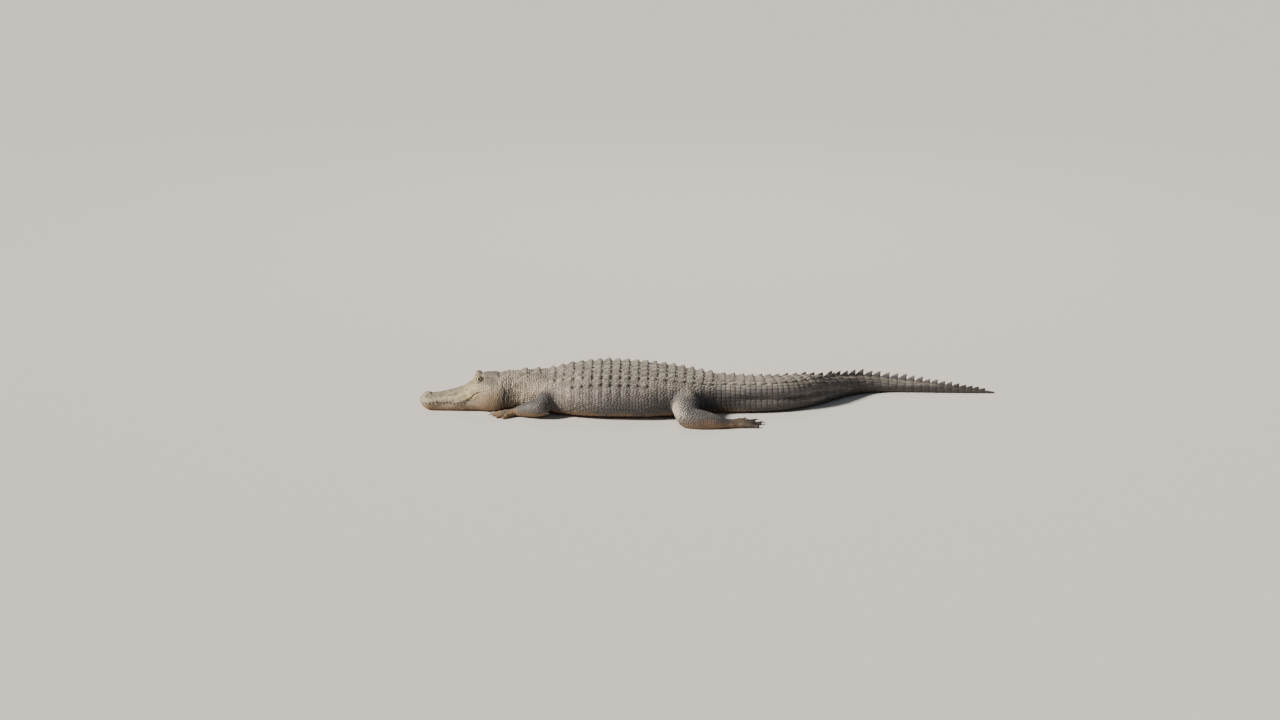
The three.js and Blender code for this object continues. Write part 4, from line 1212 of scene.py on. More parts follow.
# Place along the spine, distance from the middle, length, width and height of a pair of plates
NAPE = [
    (in_neck(0.12), 0.013, 0.022, 0.022, 0.007),
    (in_neck(0.13), 0.039, 0.022, 0.022, 0.007),
    (in_neck(0.56), 0.024, 0.050, 0.044, 0.015),
    (in_neck(0.6), 0.068, 0.036, 0.032, 0.010),
    (in_neck(0.92), 0.023, 0.050, 0.044, 0.016),
]
# Place along the tail, distance of the crest from the middle, its height, its thickness at the foot,
# and the distance to the next scute. The two crests join into one where the tail grows thin.
CREST_JOINS = in_tail(0.43)
CREST = np.array([
    (in_tail(-0.02), 0.092, 0.011, 0.020, 0.047),
    (in_tail(0.14), 0.074, 0.011, 0.018, 0.049),
    (in_tail(0.28), 0.048, 0.014, 0.015, 0.051),
    (in_tail(0.38), 0.022, 0.020, 0.013, 0.050),
    (in_tail(0.45), 0.0, 0.028, 0.012, 0.048),
    (in_tail(0.62), 0.0, 0.033, 0.010, 0.045),
    (in_tail(0.8), 0.0, 0.024, 0.008, 0.038),
    (in_tail(1), 0.0, 0.009, 0.006, 0.030),
])
# A plate: its place, length, width and height, how upright it stands, and its thickness in mm
plates = {"nape_plates": [], "back_plates": [], "crest_scutes": []}
for at, around, long, broad, peak in NAPE:
    for side in (-1, 1):
        plates["nape_plates"].append((at, side * around, long, broad, peak, 0.0, 2.4))
rows = round((in_tail(0) - FIRST_ROW) / PLATE_PITCH)
for row in range(rows):
    at = FIRST_ROW + (row + 0.5) * PLATE_PITCH
    per_side = 4 if in_trunk(0.13) < at < in_trunk(0.64) else 3
    spacing = between(COLUMN_WIDTHS, 1, at)
    for column in range(per_side):
        outer = column == per_side - 1
        long = PLATE_PITCH * (0.74 if outer else 0.97)
        broad = spacing * (0.55 if outer else 0.97)
        peak = 0.012 if outer else 0.009
        for side in (-1, 1):
            around = side * (column + 0.5) * spacing
            plates["back_plates"].append((at, around, long, broad, peak, 0.0, 2.8))
at = in_tail(0.014)
tail_rows = []
while at < in_tail(0.98):
    away, peak, broad, pitch = (float(between(CREST, n, at)) for n in (1, 2, 3, 4))
    tail_rows.append((at, pitch))
    single = at > CREST_JOINS
    long = pitch * (0.9 + 0.35 * smoothstep(at, in_tail(0.2), in_tail(0.5)))
    for side in (1,) if single else (-1, 1):
        plates["crest_scutes"].append((at, 0.0 if single else side * away, long, broad, peak, 0.75, 1.2))
    inner = int((away - 0.012) // INNER_BROAD)
    for column in range(inner):
        around = away * (column + 0.5) / (inner + 0.4)
        for side in (-1, 1):
            plates["back_plates"].append((at, side * around, pitch * 0.92, INNER_BROAD, 0.007, 0.0, 2.2))
    at += pitch

plate_places = []
u = np.linspace(-1, 1, PLATE_ROWS)[:, None]
v = np.linspace(-1, 1, PLATE_ROWS)[None, :]
largest = np.maximum(np.abs(u), np.abs(v))
rounded = (np.abs(u) ** PLATE_EDGE + np.abs(v) ** PLATE_EDGE) ** (1 / PLATE_EDGE)
corner = largest / np.maximum(rounded, 1e-9)
for name, list_of_plates in plates.items():
    grids, rises, chances, roots = [], [], [], []
    for at, around, long, broad, peak, lean, thick in list_of_plates:
        sizes = zip((long, broad, peak), SIZE_STRAY)
        long, broad, peak = (size * random.uniform(1 - stray, 1 + stray) for size, stray in sizes)
        twist = random.uniform(-0.05, 0.05)
        along = (u * corner + twist * v) * long / 2
        across = (v * corner - twist * u) * broad / 2
        base, facing, _, faces = to_skin(on_body(at + along, around + across))
        centre, out = base[PLATE_ROWS // 2, PLATE_ROWS // 2], unit(facing.mean((0, 1)))
        out = unit(out * (1 - lean) + np.array([0, 0, 1]) * lean)
        back = unit(base[-1, PLATE_ROWS // 2] - base[0, PLATE_ROWS // 2])
        normal = unit(0.6 * out + 0.4 * facing) if not lean else np.broadcast_to(out, facing.shape)
        keel_at = 0.30 + random.uniform(-0.08, 0.08)
        if lean:
            sharp = np.exp(-(np.abs(v) / 0.52) ** 1.5)
            run = smoothstep(u, -1.05, keel_at + 0.15) * (1 - smoothstep(u, keel_at + 0.2, 1.05))
        else:
            sharp = np.exp(-(np.abs(v) / 0.26) ** 1.35)
            run = smoothstep(u, -1.0, keel_at) * (1 - smoothstep(u, keel_at + 0.15, 1.02))
        keel = peak * sharp * run
        table = thick * 0.001 * (1 - smoothstep(largest, 0.70, 0.98))
        table = table * (1 + 0.12 * np.sin(9 * u + 5 * v + at * 900))
        height = np.maximum(keel, 0) + table - RIM_SINK * smoothstep(largest, 0.86, 1)
        swing = back * (0.20 * long * (keel / max(peak, 1e-6)) ** 2)[..., None] if lean else 0
        grids.append(base + normal * height[..., None] + swing)
        rises.append(np.clip(0.25 + 0.75 * keel / peak, 0, 1) * (1 - smoothstep(largest, 0.8, 1)))
        chances.append(random.uniform(0, 1))
        roots.append(face_uv[faces[PLATE_ROWS // 2, PLATE_ROWS // 2]])
        rooted = 0.62 if lean else 1
        plate_places.append((centre, back, unit(np.cross(out, back)), long / 2, rooted * broad / 2))
    grids, rises = np.array(grids), np.array(rises)
    flat = np.stack(np.broadcast_arrays(u, v), -1).reshape(1, -1, 2) * PLATE_PATCH
    patches = np.array(roots)[:, None] + flat
    marks = {
        "rise": rises,
        "chance": np.repeat(np.array(chances), PLATE_ROWS**2),
        "armour": np.full((len(grids), 1), 1.0),
    }
    sheet_of(name, grids, marks, patches)


# Scales. Small horny plates that grow from the hide all over the rest of the body, edge to edge with
# thin seams between: in cross rows on neck, flanks, belly and tail, finer on the head, limbs and toes.
# Seeds are sown in rows, and each scale fills the space up to halfway to its neighbours.
random = np.random.default_rng(11)
SCALE_SIDES = 12
LEVEL_HEIGHTS = (-0.35, 0.55, 0.93, 1.0)
LEVEL_RISES = (0.0, 0.45, 0.8, 0.95)
LEVEL_PATCHES = (1, 0.9, 0.6, 0.3)
SCALE_PATCH = 0.0015
GROUPS = ["snout", "head", "neck", "left_flank", "right_flank", "belly", "tail", *LIMBS]
seeds = {"place": [], "back": [], "long": [], "wide": [], "thick": [], "keel": [], "group": []}


def sow(group, places, back, long, wide, thick, keel=0.0, slack=0.010, stray=0.12):
    """Puts the seeds of scales on the skin, moved a little by chance, unless it is too far below."""
    shape = places.shape[:-1]
    long, wide, thick, keel = (np.broadcast_to(size, shape) for size in (long, wide, thick, keel))
    aside = unit(np.cross(back, [0.02, 0.01, 1.0]))
    shift = random.uniform(-stray, stray, (2, *shape))
    moved = places + back * (shift[0] * long)[..., None] + aside * (shift[1] * wide)[..., None]
    _, _, gaps, _ = to_skin(places)
    on, _, _, _ = to_skin(moved)
    keep = gaps < slack
    seeds["place"].append(on[keep])
    seeds["back"].append(np.broadcast_to(back, places.shape)[keep])
    for key, size in (("long", long), ("wide", wide), ("thick", thick), ("keel", keel)):
        seeds[key].append(size[keep])
    seeds["group"].append(np.full(int(keep.sum()), GROUPS.index(group)))


def sow_row(group, at, first, last, long, wide, thick, keel=0.0, odd=False, **more):
    """One cross row on both sides of the body, from one distance round it to another."""
    count = max(int(round((last - first) / wide)), 1)
    share = np.arange(count + 1) / count if odd else (np.arange(count) + 0.5) / count
    around = first + (last - first) * share
    for side in (-1, 1):
        line = around if side > 0 or first > 0 else around[around > 1e-6]
        places = on_body(at, side * line)
        back = unit(on_body(at + 0.003, side * line) - on_body(at - 0.003, side * line))
        sizes = {"thick": thick, "keel": keel}
        sizes = {key: size(line) if callable(size) else size for key, size in sizes.items()}
        name = group[side > 0] if isinstance(group, tuple) else group
        sow(name, places, back, long, (last - first) / count, **sizes, **more)


# The head: fine scales, larger towards the neck, and a row of the largest along each lip
HEAD_SCALE = 0.0062
HEAD_GROWTH = 0.0038
HEAD_THICK = 0.0006
JOWL_THICK = 0.0008
LIP_ROW_OFF = 0.0062
LIP_CLEAR = 0.0105
LIP_THICK = 0.0009
at = 0.006
row = 0
while at < in_head(0.95):
    long = HEAD_SCALE + HEAD_GROWTH * smoothstep(at, 0.03, 0.3)
    girth = np.interp(at, body_rings, girths)
    mouth = np.interp(at, body_rings, mouth_arc)
    group = "snout" if at < in_head(0.5) else "head"
    odd = row % 2 == 1
    if at < in_head(0.75):
        sow_row(group, at, 0, mouth - LIP_CLEAR, long, long, HEAD_THICK, odd=odd, stray=0.30)
        if odd:
            for place in (mouth - LIP_ROW_OFF, mouth + LIP_ROW_OFF):
                first, last = place - 0.004, place + 0.004
                sow_row(group, at, first, last, 2 * long, 0.010, LIP_THICK, stray=0.05)
        sow_row(group, at, mouth + LIP_CLEAR, girth, long, long, HEAD_THICK, odd=odd, stray=0.30)
    else:
        sow_row(group, at, 0, girth, long, long, JOWL_THICK, odd=odd, stray=0.30)
    at += long
    row += 1

# The neck and throat
NECK_SCALE = 0.0118
NECK_STEP = 0.0116
THROAT_THICK = 0.0012
NAPE_THICKER = 0.0008
while at < FIRST_ROW:
    girth = np.interp(at, body_rings, girths)
    thick = lambda around: THROAT_THICK + NAPE_THICKER * (1 - smoothstep(around / girth, 0.45, 0.75))
    keel = lambda around: 0.9 * (1 - smoothstep(around / girth, 0.3, 0.6))
    sow_row("neck", at, 0, girth, NECK_SCALE, NECK_SCALE, thick, keel, odd=row % 2 == 1, stray=0.33)
    at += NECK_STEP
    row += 1

# The flanks, from the armour to the belly, in three cross rows to each row of plates
FLANK_LONG = 0.0155
UPPER_WIDE = 0.0150
UPPER_THICK = 0.0018
LOWER_WIDE = 0.0105
LOWER_THICK = 0.0016
FLANKS = ("left_flank", "right_flank")
rows = round((in_tail(0) - FIRST_ROW) / PLATE_PITCH)
for row in range(3 * rows):
    at = FIRST_ROW + (row + 0.5) * PLATE_PITCH / 3
    low = np.interp(at, body_rings, low_arc)
    middle = 0.5 * low
    odd = row % 2 == 1
    keel = lambda around: 0.8 * (1 - smoothstep(around, 0.18, 0.28))
    sow_row(FLANKS, at, 0, middle, FLANK_LONG, UPPER_WIDE, UPPER_THICK, keel, odd=odd, stray=0.36)
    sow_row(FLANKS, at, middle, low, FLANK_LONG, LOWER_WIDE, LOWER_THICK, odd=odd, stray=0.33)

# The belly, in broad square rows
BELLY_LONG = 0.031
BELLY_WIDE = 0.029
BELLY_THICK = 0.0020
rows = int((in_tail(0) - in_neck(0.9)) / BELLY_LONG)
for row in range(rows):
    at = in_tail(0) - (row + 0.5) * BELLY_LONG
    low = np.interp(at, body_rings, low_arc)
    girth = np.interp(at, body_rings, girths)
    if at > FIRST_ROW + 0.01:
        sow_row("belly", at, low + 0.004, girth, BELLY_LONG, BELLY_WIDE, BELLY_THICK, stray=0.03)

# The tail, in rings of oblong scales: two to each pair of crest scutes near the body, and one to each
# scute farther back
TAIL_TALL = 0.0300
TAIL_SHRINK = 0.0165
TAIL_THICK = 0.0014
for at, pitch in tail_rows:
    girth = np.interp(at, body_rings, girths)
    full = TAIL_TALL - TAIL_SHRINK * smoothstep(at, in_tail(0.05), in_tail(0.7))
    keel = lambda around: 0.35 * (1 - smoothstep(around / girth, 0.2, 0.6))
    for half in (-0.25, 0.25) if at < in_tail(0.3) else (0,):
        long, tall = pitch * (0.5 if half else 1), full * (0.62 if half else 1)
        sow_row("tail", at + half * pitch, 0, girth, long, tall, TAIL_THICK, keel, stray=0.09)

# The limbs and toes: the size of a scale at the start and end of each length of a limb and its
# thickness there, and the same on a toe
LIMB_SCALES = ((0.0140, 0.0125), (0.0122, 0.0095), (0.0085, 0.0070))
LIMB_THICK = 0.0015
LIMB_THINNING = 0.0003
TOE_LONG = 0.0078
TOE_WIDE = 0.0096
TOE_THICK = 0.0009


def on_rings(rings, along, around):
    """Points of a limb by ring and by share of the way round."""
    count, sides = rings.shape[:2]
    i = np.clip(along.astype(int), 0, count - 2)
    t = (along - i)[..., None]
    column = around % 1 * sides
    j = column.astype(int) % sides
    u = (column - column.astype(int))[..., None]
    first = rings[i, j] * (1 - u) + rings[i, (j + 1) % sides] * u
    second = rings[i + 1, j] * (1 - u) + rings[i + 1, (j + 1) % sides] * u
    return first * (1 - t) + second * t


def sow_limb(group, rings, long_of, wide_of, thick, keel, **more):
    """Cross rows from one end of a limb to the other."""
    middle = rings.mean(1)
    run = np.r_[0, np.cumsum(np.linalg.norm(np.diff(middle, axis=0), axis=1))]
    around = np.linalg.norm(np.diff(rings, axis=1, append=rings[:, :1]), axis=2).sum(1)
    at, row = 0.0, 0
    while at < run[-1]:
        share = at / run[-1]
        long, wide = long_of(share), wide_of(share)
        ring = np.interp(at, run, np.arange(len(rings)))
        count = max(int(round(np.interp(ring, np.arange(len(rings)), around) / wide)), 5)
        turn = (np.arange(count) + 0.5 * (row % 2)) / count
        places = on_rings(rings, np.full(count, ring), turn)
        beyond, before = (
            on_rings(rings, np.full(count, np.clip(ring + step, 0, len(rings) - 1.001)), turn)
            for step in (0.4, -0.4)
        )
        back = unit(beyond - before)
        sow(group, places, back, long, wide, thick, keel, **more)
        at += long
        row += 1


for name in LIMBS:
    for n, (first, last) in enumerate(LIMB_SCALES):
        size = lambda share: first + (last - first) * share
        thick = LIMB_THICK - LIMB_THINNING * n
        sow_limb(name, limb_rings[name, n], size, size, thick, 0.7, slack=0.007, stray=0.28)
    for n in range(len(LIMBS[name][3]["end"]["toes"])):
        long, wide = (lambda share: TOE_LONG), (lambda share: TOE_WIDE)
        sow_limb(name, toe_rings[name, n], long, wide, TOE_THICK, 0.1, slack=0.004, stray=0.05)

seeds = {key: np.concatenate(values) for key, values in seeds.items()}

# Seeds that fell together are thinned, and bare skin between the rows is sown with more. What is too
# near, and what is bare, is counted in scales.
TOO_NEAR = 0.62
BARE = 0.84
CELL = 0.02
LID_CLEAR = (0.0052, 0.0058)
EAR_SLIT_AT = 0.0012
size = (seeds["long"] + seeds["wide"]) / 2


def tree_of(points):
    tree = KDTree(len(points))
    for n, point in enumerate(points.tolist()):
        tree.insert(point, n)
    tree.balance()
    return tree


def apart(n, points):
    """How far points are from a seed, counted in scales."""
    away = points - seeds["place"][n]
    along = (away @ seeds["back"][n]) / seeds["long"][n]
    across = np.sqrt(np.maximum((away**2).sum(-1) - (along * seeds["long"][n]) ** 2, 0)) / seeds["wide"][n]
    return np.hypot(along, across)


def may_grow(points):
    """Where scales may grow: not under a plate, on a lid, or in a nostril or ear."""
    free = np.ones(len(points), bool)
    tree = tree_of(points)
    for centre, back, aside, half_long, half_broad in plate_places:
        for _, n, _ in tree.find_range(centre.tolist(), 1.3 * max(half_long, half_broad)):
            away = points[n] - centre
            inside = (abs(away @ back) / half_long) ** 4 + (abs(away @ aside) / half_broad) ** 4
            if inside < 0.9:
                free[n] = False
    for side in (-1, 1):
        centre, out, along, over = eye_frame(side)
        away = points - centre
        wide, tall = EYE_LONG + LID_CLEAR[0], EYE_TALL + LID_CLEAR[1]
        lens = np.hypot(away @ along / wide, away @ over / tall)
        free &= ~((lens < 1) & (away @ out > 0))
        centre, along, across = nostril_frame(side)
        away = points - centre
        a = away @ along
        lens = np.hypot(a / NOSTRIL_LONG, (away @ across + NOSTRIL_BOW * a * a) / NOSTRIL_WIDE)
        free &= ~((lens < 1.75) & (np.abs(away[:, 2]) < 0.02))
        centre, along, out = ear_frame(side)
        away = points - centre
        slit = (np.abs(away @ along) < 0.026) & (np.abs(away[:, 2] + EAR_SLIT_AT) < 0.0022)
        free &= ~(slit & (np.abs(away @ out) < 0.016))
    return free


tree = tree_of(seeds["place"])
keep = np.ones(len(size), bool)
for n, place in enumerate(seeds["place"].tolist()):
    if keep[n]:
        reach = TOO_NEAR * float(max(seeds["long"][n], seeds["wide"][n]))
        others = [other for _, other, _ in tree.find_range(place, reach) if other > n]
        if others:
            others = np.array(others)
            keep[others[apart(n, seeds["place"][others]) < TOO_NEAR]] = False
seeds = {key: values[keep] for key, values in seeds.items()}
grown = may_grow(seeds["place"])
hidden = {key: values[~grown] for key, values in seeds.items()}
seeds = {key: values[grown] for key, values in seeds.items()}
size = (seeds["long"] + seeds["wide"]) / 2
tree = tree_of(seeds["place"])
points = points_of(skin.data)
bare = may_grow(points)
added = []
cells = {}
for index in random.permutation(len(points)).tolist():
    place = points[index]
    _, n, gap = tree.find(place)
    step = float(size[n])
    if not bare[index] or gap < 0.5 * step:
        continue
    if min(apart(near, place) for _, near, _ in tree.find_n(place, 4)) < BARE:
        continue
    key = tuple(int(c // CELL) for c in place)
    around = itertools.product(*((c - 1, c, c + 1) for c in key))
    near = (other for cell in around for other in cells.get(cell, ()))
    if any(np.linalg.norm(place - points[other]) < 0.9 * min(step, CELL) for other in near):
        continue
    cells.setdefault(key, []).append(index)
    added.append((index, n))
index, like = np.array([a for a, _ in added]), np.array([b for _, b in added])
new_tree = tree_of(points[index])
clear = np.array([
    new_tree.find(place)[2] > 0.7 * wide for place, wide in zip(hidden["place"].tolist(), hidden["wide"])
])
for key in seeds:
    extra = points[index] if key == "place" else seeds[key][like]
    seeds[key] = np.concatenate([seeds[key], extra, hidden[key][clear]])

# Each scale reaches halfway to its neighbours, with its corners rounded and a thin seam left all round
NEAR = 12
ROUNDING = 13.0
SEAM_LEAST = 0.00012
SEAM_SHARE = 0.009
place = seeds["place"]
count = len(place)
grown = np.arange(count) < count - int(clear.sum())
tree = tree_of(place)
_, facing, _, root_faces = to_skin(place)
back = unit(seeds["back"] - facing * (seeds["back"] * facing).sum(1, keepdims=True))
aside = np.cross(facing, back)
turn = 2 * np.pi * (np.arange(SCALE_SIDES) + 0.5) / SCALE_SIDES
circle = np.stack([np.cos(turn), np.sin(turn)], 1)
long_wide = np.stack([seeds["long"], seeds["wide"]], 1)[:, None]
ray = unit(circle[None] * long_wide)
half = long_wide / 2
limit = 1 / np.maximum((np.abs(ray / half) ** 4).sum(2) ** 0.25, 1e-9)
reach = np.empty((count, SCALE_SIDES))
for n, point in enumerate(place.tolist()):
    others = [other for _, other, _ in tree.find_n(point, NEAR + 1) if other != n]
    away = place[others] - place[n]
    square = (away**2).sum(1) / 2
    flat = np.stack([away @ back[n], away @ aside[n]], 1)
    run = ray[n] @ flat.T
    far = np.where(run > 1e-5, square / np.maximum(run, 1e-5), 1.0)
    reach[n] = (far**-ROUNDING).sum(1) ** (-1 / ROUNDING)
reach = (reach**-ROUNDING + (limit * 1.25) ** -ROUNDING) ** (-1 / ROUNDING)
size = (seeds["long"] + seeds["wide"]) / 2
reach = np.maximum(reach - (SEAM_LEAST + SEAM_SHARE * size)[:, None], 0.0008)
spread = ray[..., :1] * back[:, None] + ray[..., 1:] * aside[:, None]
thick_random = random.uniform(0.72, 1.28, count)
chance_of = random.uniform(0, 1, count)
for group, group_name in enumerate(GROUPS):
    chosen = np.flatnonzero(grown & (seeds["group"] == group))
    rim = place[chosen, None] + spread[chosen] * reach[chosen][..., None]
    rim, rim_facing, _, _ = to_skin(rim)
    own = unit(facing[chosen] + rim_facing.mean(1))
    normal = unit(0.5 * own[:, None] + 0.5 * rim_facing)
    thick = seeds["thick"][chosen] * thick_random[chosen]
    keel = seeds["keel"][chosen]
    slope = ((rim - place[chosen, None]) * back[chosen, None]).sum(2) / seeds["long"][chosen, None]
    edge = np.clip(0.7 * thick / reach[chosen].mean(1), 0.05, 0.16)[:, None]
    shares = np.stack([np.ones_like(edge), 1 - edge, 1 - 3.2 * edge, 0.5 - 1.6 * edge])
    levels = []
    for share, height in zip(shares, LEVEL_HEIGHTS):
        flat = place[chosen, None] + (rim - place[chosen, None]) * share[..., None]
        if levels:
            on_skin, _, _, _ = to_skin(flat)
            lift = ((on_skin - flat) * normal).sum(2, keepdims=True)
            flat = flat + normal * np.maximum(lift, 0)
        ridge = keel[:, None] * np.maximum(0, 0.8 - share) ** 2
        tall = thick[:, None] * (height * (1 + 0.5 * slope * share) + ridge)
        levels.append(flat + normal * tall[..., None])
    grids = np.stack(levels, 1)
    tip = place[chosen] + own * (thick * (1.0 + 0.62 * keel))[:, None]
    per = len(LEVEL_HEIGHTS) * SCALE_SIDES + 1
    rises = [np.repeat(level, SCALE_SIDES) for level in LEVEL_RISES]
    root = face_uv[root_faces[chosen]]
    patch = [root[:, None] + circle * SCALE_PATCH * share for share in LEVEL_PATCHES] + [root[:, None]]
    marks = {
        "rise": np.broadcast_to(np.r_[np.concatenate(rises), 1.0], (len(chosen), per)),
        "chance": np.repeat(chance_of[chosen], per),
    }
    sheet_of(f"scales_{group_name}", grids, marks, np.concatenate(patch, 1), tip)


# Eyes. Each is a wet ball in its socket behind the lids: a dark gold iris with a black upright slit
# of a pupil, under a cornea that bulges a little.
IRIS_DARK = (0.014, 0.011, 0.005)
IRIS_GOLD = (0.056, 0.042, 0.016)
IRIS_RIM = (0.020, 0.014, 0.008)
PUPIL = (0.003, 0.003, 0.003)
PUPIL_NARROW = 4.6
CORNEA_HIGH = 0.0012
look = Finish("eye")
plan = look.node("ShaderNodeUVMap", uv_map="UVMap").outputs[0]
centred = look.vector("SUBTRACT", plan, (0.5, 0.5, 0))
far = look.vector("LENGTH", centred, out="Value")
squeezed = look.vector("MULTIPLY", centred, (PUPIL_NARROW, 1.0, 1.0))
slit = look.vector("LENGTH", squeezed, out="Value")
colour = look.tint(look.noise(48, 8, 0.5, plan), 0.38, IRIS_DARK, 0.66, IRIS_GOLD)
colour = look.mix(look.ramp(far, 0.30, 0.40, way="LINEAR"), colour, IRIS_RIM)
colour = look.mix(look.ramp(slit, 0.245, 0.205, way="LINEAR"), colour, PUPIL)
look.surface(base_color=colour, roughness=0.06, coat_weight=1.0, coat_roughness=0.03)
eye_finish = look.material
for name, side in (("left", -1), ("right", 1)):
    centre, out, along, over = eye_frame(side)
    bpy.ops.mesh.primitive_uv_sphere_add(segments=64, ring_count=32, radius=EYE_SIZE)
    ball = bpy.context.object
    ball.name = f"{name}_eyeball"
    points = points_of(ball.data)
    cornea = CORNEA_HIGH * bump(np.hypot(points @ along, points @ over), 0, 0.006) * (points @ out > 0)
    set_points(ball.data, centre + points + cornea[:, None] * out)
    for loop in ball.data.loops:
        away = points[loop.vertex_index]
        if away @ out > 0:
            flat = (0.5 + (away @ along) / (2.2 * EYE_SIZE), 0.5 + (away @ over) / (2.2 * EYE_SIZE))
        else:
            flat = (0.02, 0.02)
        ball.data.uv_layers[0].data[loop.index].uv = flat
    bpy.ops.object.shade_smooth()
    ball.data.materials.append(eye_finish)
    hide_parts(f"{name}_eye")
    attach(ball, "root")
    bpy.ops.object.select_all(action="DESELECT")

# Claws. Dark horn on the three inner toes of each limb, curved down and worn blunt. Each is rooted in
# the tip of its toe.
CLAW_DARK = (0.018, 0.014, 0.011)
CLAW_PALE = (0.11, 0.085, 0.058)
CLAW_ROOT = 0.008
CLAW_THICK = 0.0052
CLAW_ARCH = 0.0055
CLAW_DROOP = 0.0075
look = Finish("claw")
grain = look.noise(260, 5, 0.5)
look.surface(base_color=look.tint(grain, 0.35, CLAW_DARK, 0.72, CLAW_PALE), roughness=0.38)
look.emboss(grain, 1.0, 0.0004)
claw_finish = look.material
for name, (side, joints, _, kind) in LIMBS.items():
    end = kind["end"]
    base = beside(joints[2][0], side * joints[2][1], joints[2][2])
    number = 0
    for turn, reach, long in end["toes"]:
        if not long:
            continue
        number += 1
        ahead = ahead_way(name, turn)
        start = base + ahead * (reach - CLAW_ROOT)
        start[2] = end["thick"] - 0.0005
        t = np.linspace(0, 1, 16)
        path = start + ahead * (t * (long + 0.014))[:, None]
        path[:, 2] += CLAW_ARCH * np.sin(t * np.pi * 0.72) - CLAW_DROOP * t**2.2
        path[:, 2] = np.maximum(path[:, 2], 0.0012)
        wide = CLAW_THICK * (1 - 0.88 * t**1.6)
        ring = swept(path, wide * 0.85, wide, 20)
        ring[..., 2] = np.maximum(ring[..., 2], 0.0004)
        claw = closed_tube(f"{name}_claw_{number}_horn", ring)
        claw.select_set(True)
        bpy.ops.object.shade_smooth()
        claw.data.materials.append(claw_finish)
        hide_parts(f"{name.split('_')[0]}_{kind['names'][2]}_claw_{number}")
        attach(claw, "root")
        bpy.ops.object.select_all(action="DESELECT")

# Teeth. Ivory cones set along the upper jaw, which hang outside the lower lip when the mouth is shut.
# They are long where the jaw bows out, and stained in patches.
TOOTH_DARK = (0.20, 0.13, 0.065)
TOOTH_PALE = (0.56, 0.47, 0.31)
TOOTH_ROOT = 0.006
TOOTH_LONG = 0.0035
BIG_TOOTH_LONGER = 0.0085
UNEVEN = 0.0020
TOOTH_THICK = 0.0027
BIG_TOOTH_THICKER = 0.0010
TOOTH_STEPS = 12
TOOTH_SIDES = 16
look = Finish("tooth")
stain = look.tint(look.noise(180, 2.0, 0.5), 0.35, TOOTH_DARK, 0.64, TOOTH_PALE)
look.surface(base_color=stain, roughness=0.32)
tooth_finish = look.material
rings = []
for n in range(TEETH_PER_SIDE):
    at, big = tooth_at(n)
    long = TOOTH_LONG + BIG_TOOTH_LONGER * big + UNEVEN * abs(math.sin(2.3 * n))
    for side in (-1, 1):
        across = between(SECTIONS, HALF_WIDTH, at) - LIP_OVERHANG / 2 + 0.0004
        root = beside(at, side * across, between(MOUTH, 1, at))
        t = np.linspace(0, 1, TOOTH_STEPS)[:, None]
        path = root + np.array([0, 0, TOOTH_ROOT]) * (1 - t) - np.array([0, 0, long]) * t
        path += way(at, 0, side, 0) * 0.0012 * np.sin(np.pi * t)
        wide = (TOOTH_THICK + BIG_TOOTH_THICKER * big) * np.sqrt(1 - t[:, 0] ** 1.5 * 0.97)
        angle = np.linspace(0, 2 * np.pi, TOOTH_SIDES, endpoint=False)
        flat = np.stack([np.cos(angle), np.sin(angle), np.zeros(TOOTH_SIDES)], 1)
        rings.append(path[:, None] + flat * wide[:, None, None])
rings = np.array(rings)
tip = rings[:, -1].mean(1) - np.array([0, 0, 0.0004])
patches = np.zeros((len(rings), TOOTH_STEPS * TOOTH_SIDES + 1, 2))
patches += (np.arange(len(rings)) / len(rings))[:, None, None]
sheet_of("teeth", rings, {}, patches, tip, material=tooth_finish)

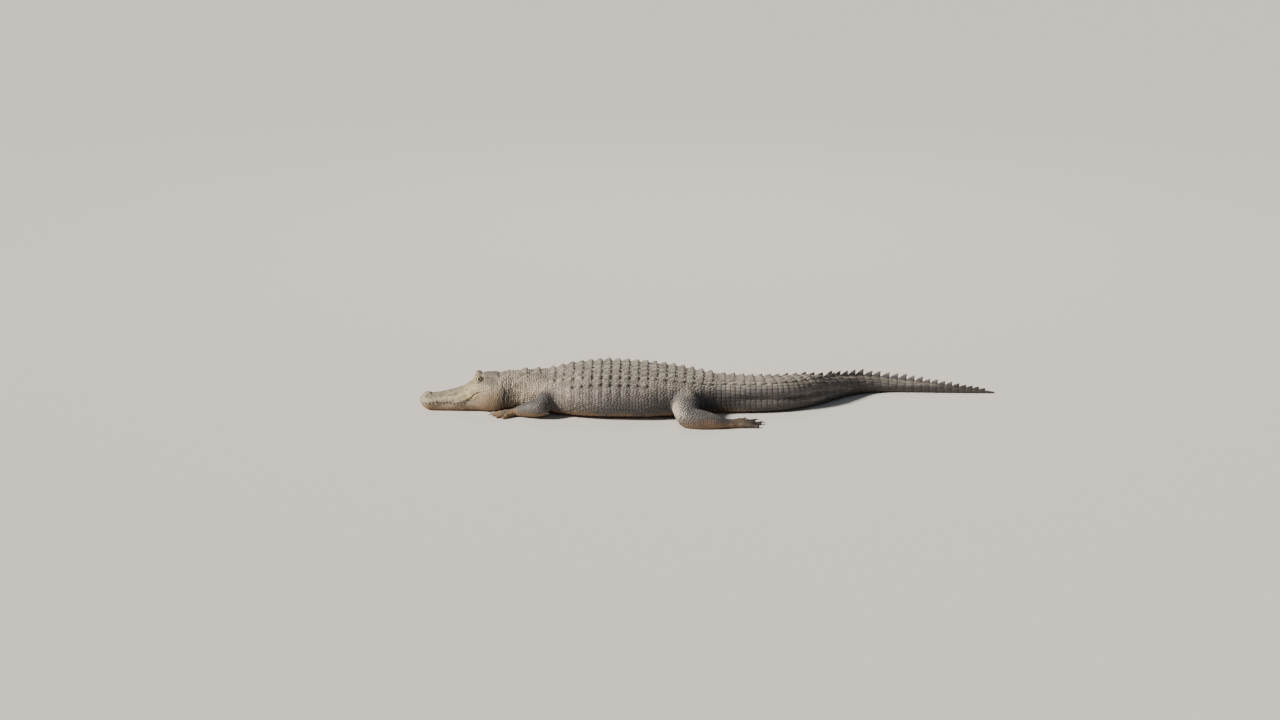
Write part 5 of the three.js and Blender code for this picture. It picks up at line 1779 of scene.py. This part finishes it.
# The studio. A plain pale floor, a low warm sun from the front left as the key light, a soft fill from
# the right, a light on the far edge and a pale sky. The camera looks along the photo's line of sight.
FLOOR_COLOUR = (0.62, 0.60, 0.57, 1)
SKY_COLOUR = (0.80, 0.87, 1.0, 1)
SKY_STRENGTH = 0.17
bpy.ops.mesh.primitive_plane_add(size=60, location=(0, 0, -0.0004))
floor = bpy.context.object
floor.name = "studio_floor"
look = Finish("studio_floor")
look.surface(base_color=FLOOR_COLOUR, roughness=0.9)
floor.data.materials.append(look.material)

world = bpy.context.scene.world or bpy.data.worlds.new("studio")
bpy.context.scene.world = world
world.use_nodes = True
world.node_tree.nodes["Background"].inputs[0].default_value = SKY_COLOUR
world.node_tree.nodes["Background"].inputs[1].default_value = SKY_STRENGTH


def lamp(name, kind, place, energy, size, colour):
    """A lamp aimed at the animal. The size of a sun is an angle, that of an area a length."""
    light = bpy.data.lights.new(name, kind)
    light.energy = energy
    light.color = colour
    if kind == "SUN":
        light.angle = size
    else:
        light.size = size
    lit = bpy.data.objects.new(name, light)
    bpy.context.scene.collection.objects.link(lit)
    lit.location = place
    lit.rotation_euler = (Vector((0, 0, 0.1)) - Vector(place)).to_track_quat("-Z", "Y").to_euler()


lamp("key", "SUN", (-5.7, -1.9, 4.0), 8.4, math.radians(9), (1.0, 0.93, 0.82))
lamp("fill", "AREA", (3.0, -6.0, 3.5), 14, 4.0, (0.88, 0.93, 1.0))
lamp("rim", "AREA", (0.5, 5.0, 5.0), 85, 3.0, (0.97, 0.98, 1.0))

CAMERA_AWAY = 12.0
CAMERA_RISE = math.radians(17)
LENS = 66.9
SENSOR = 36
ORIGIN_ROW = 407
MIDDLE_ROW = 360
FOCAL_PIXELS = 2377.7
eye_place = Vector((0, -CAMERA_AWAY * math.cos(CAMERA_RISE), CAMERA_AWAY * math.sin(CAMERA_RISE)))
camera_data = bpy.data.cameras.new("camera")
camera = bpy.data.objects.new("camera", camera_data)
bpy.context.scene.collection.objects.link(camera)
camera_data.lens = LENS
camera_data.sensor_width = SENSOR
camera.location = eye_place
lift = math.atan((ORIGIN_ROW - MIDDLE_ROW) / FOCAL_PIXELS)
camera.rotation_euler = (math.pi / 2 - CAMERA_RISE + lift, 0, 0)
bpy.context.scene.camera = camera
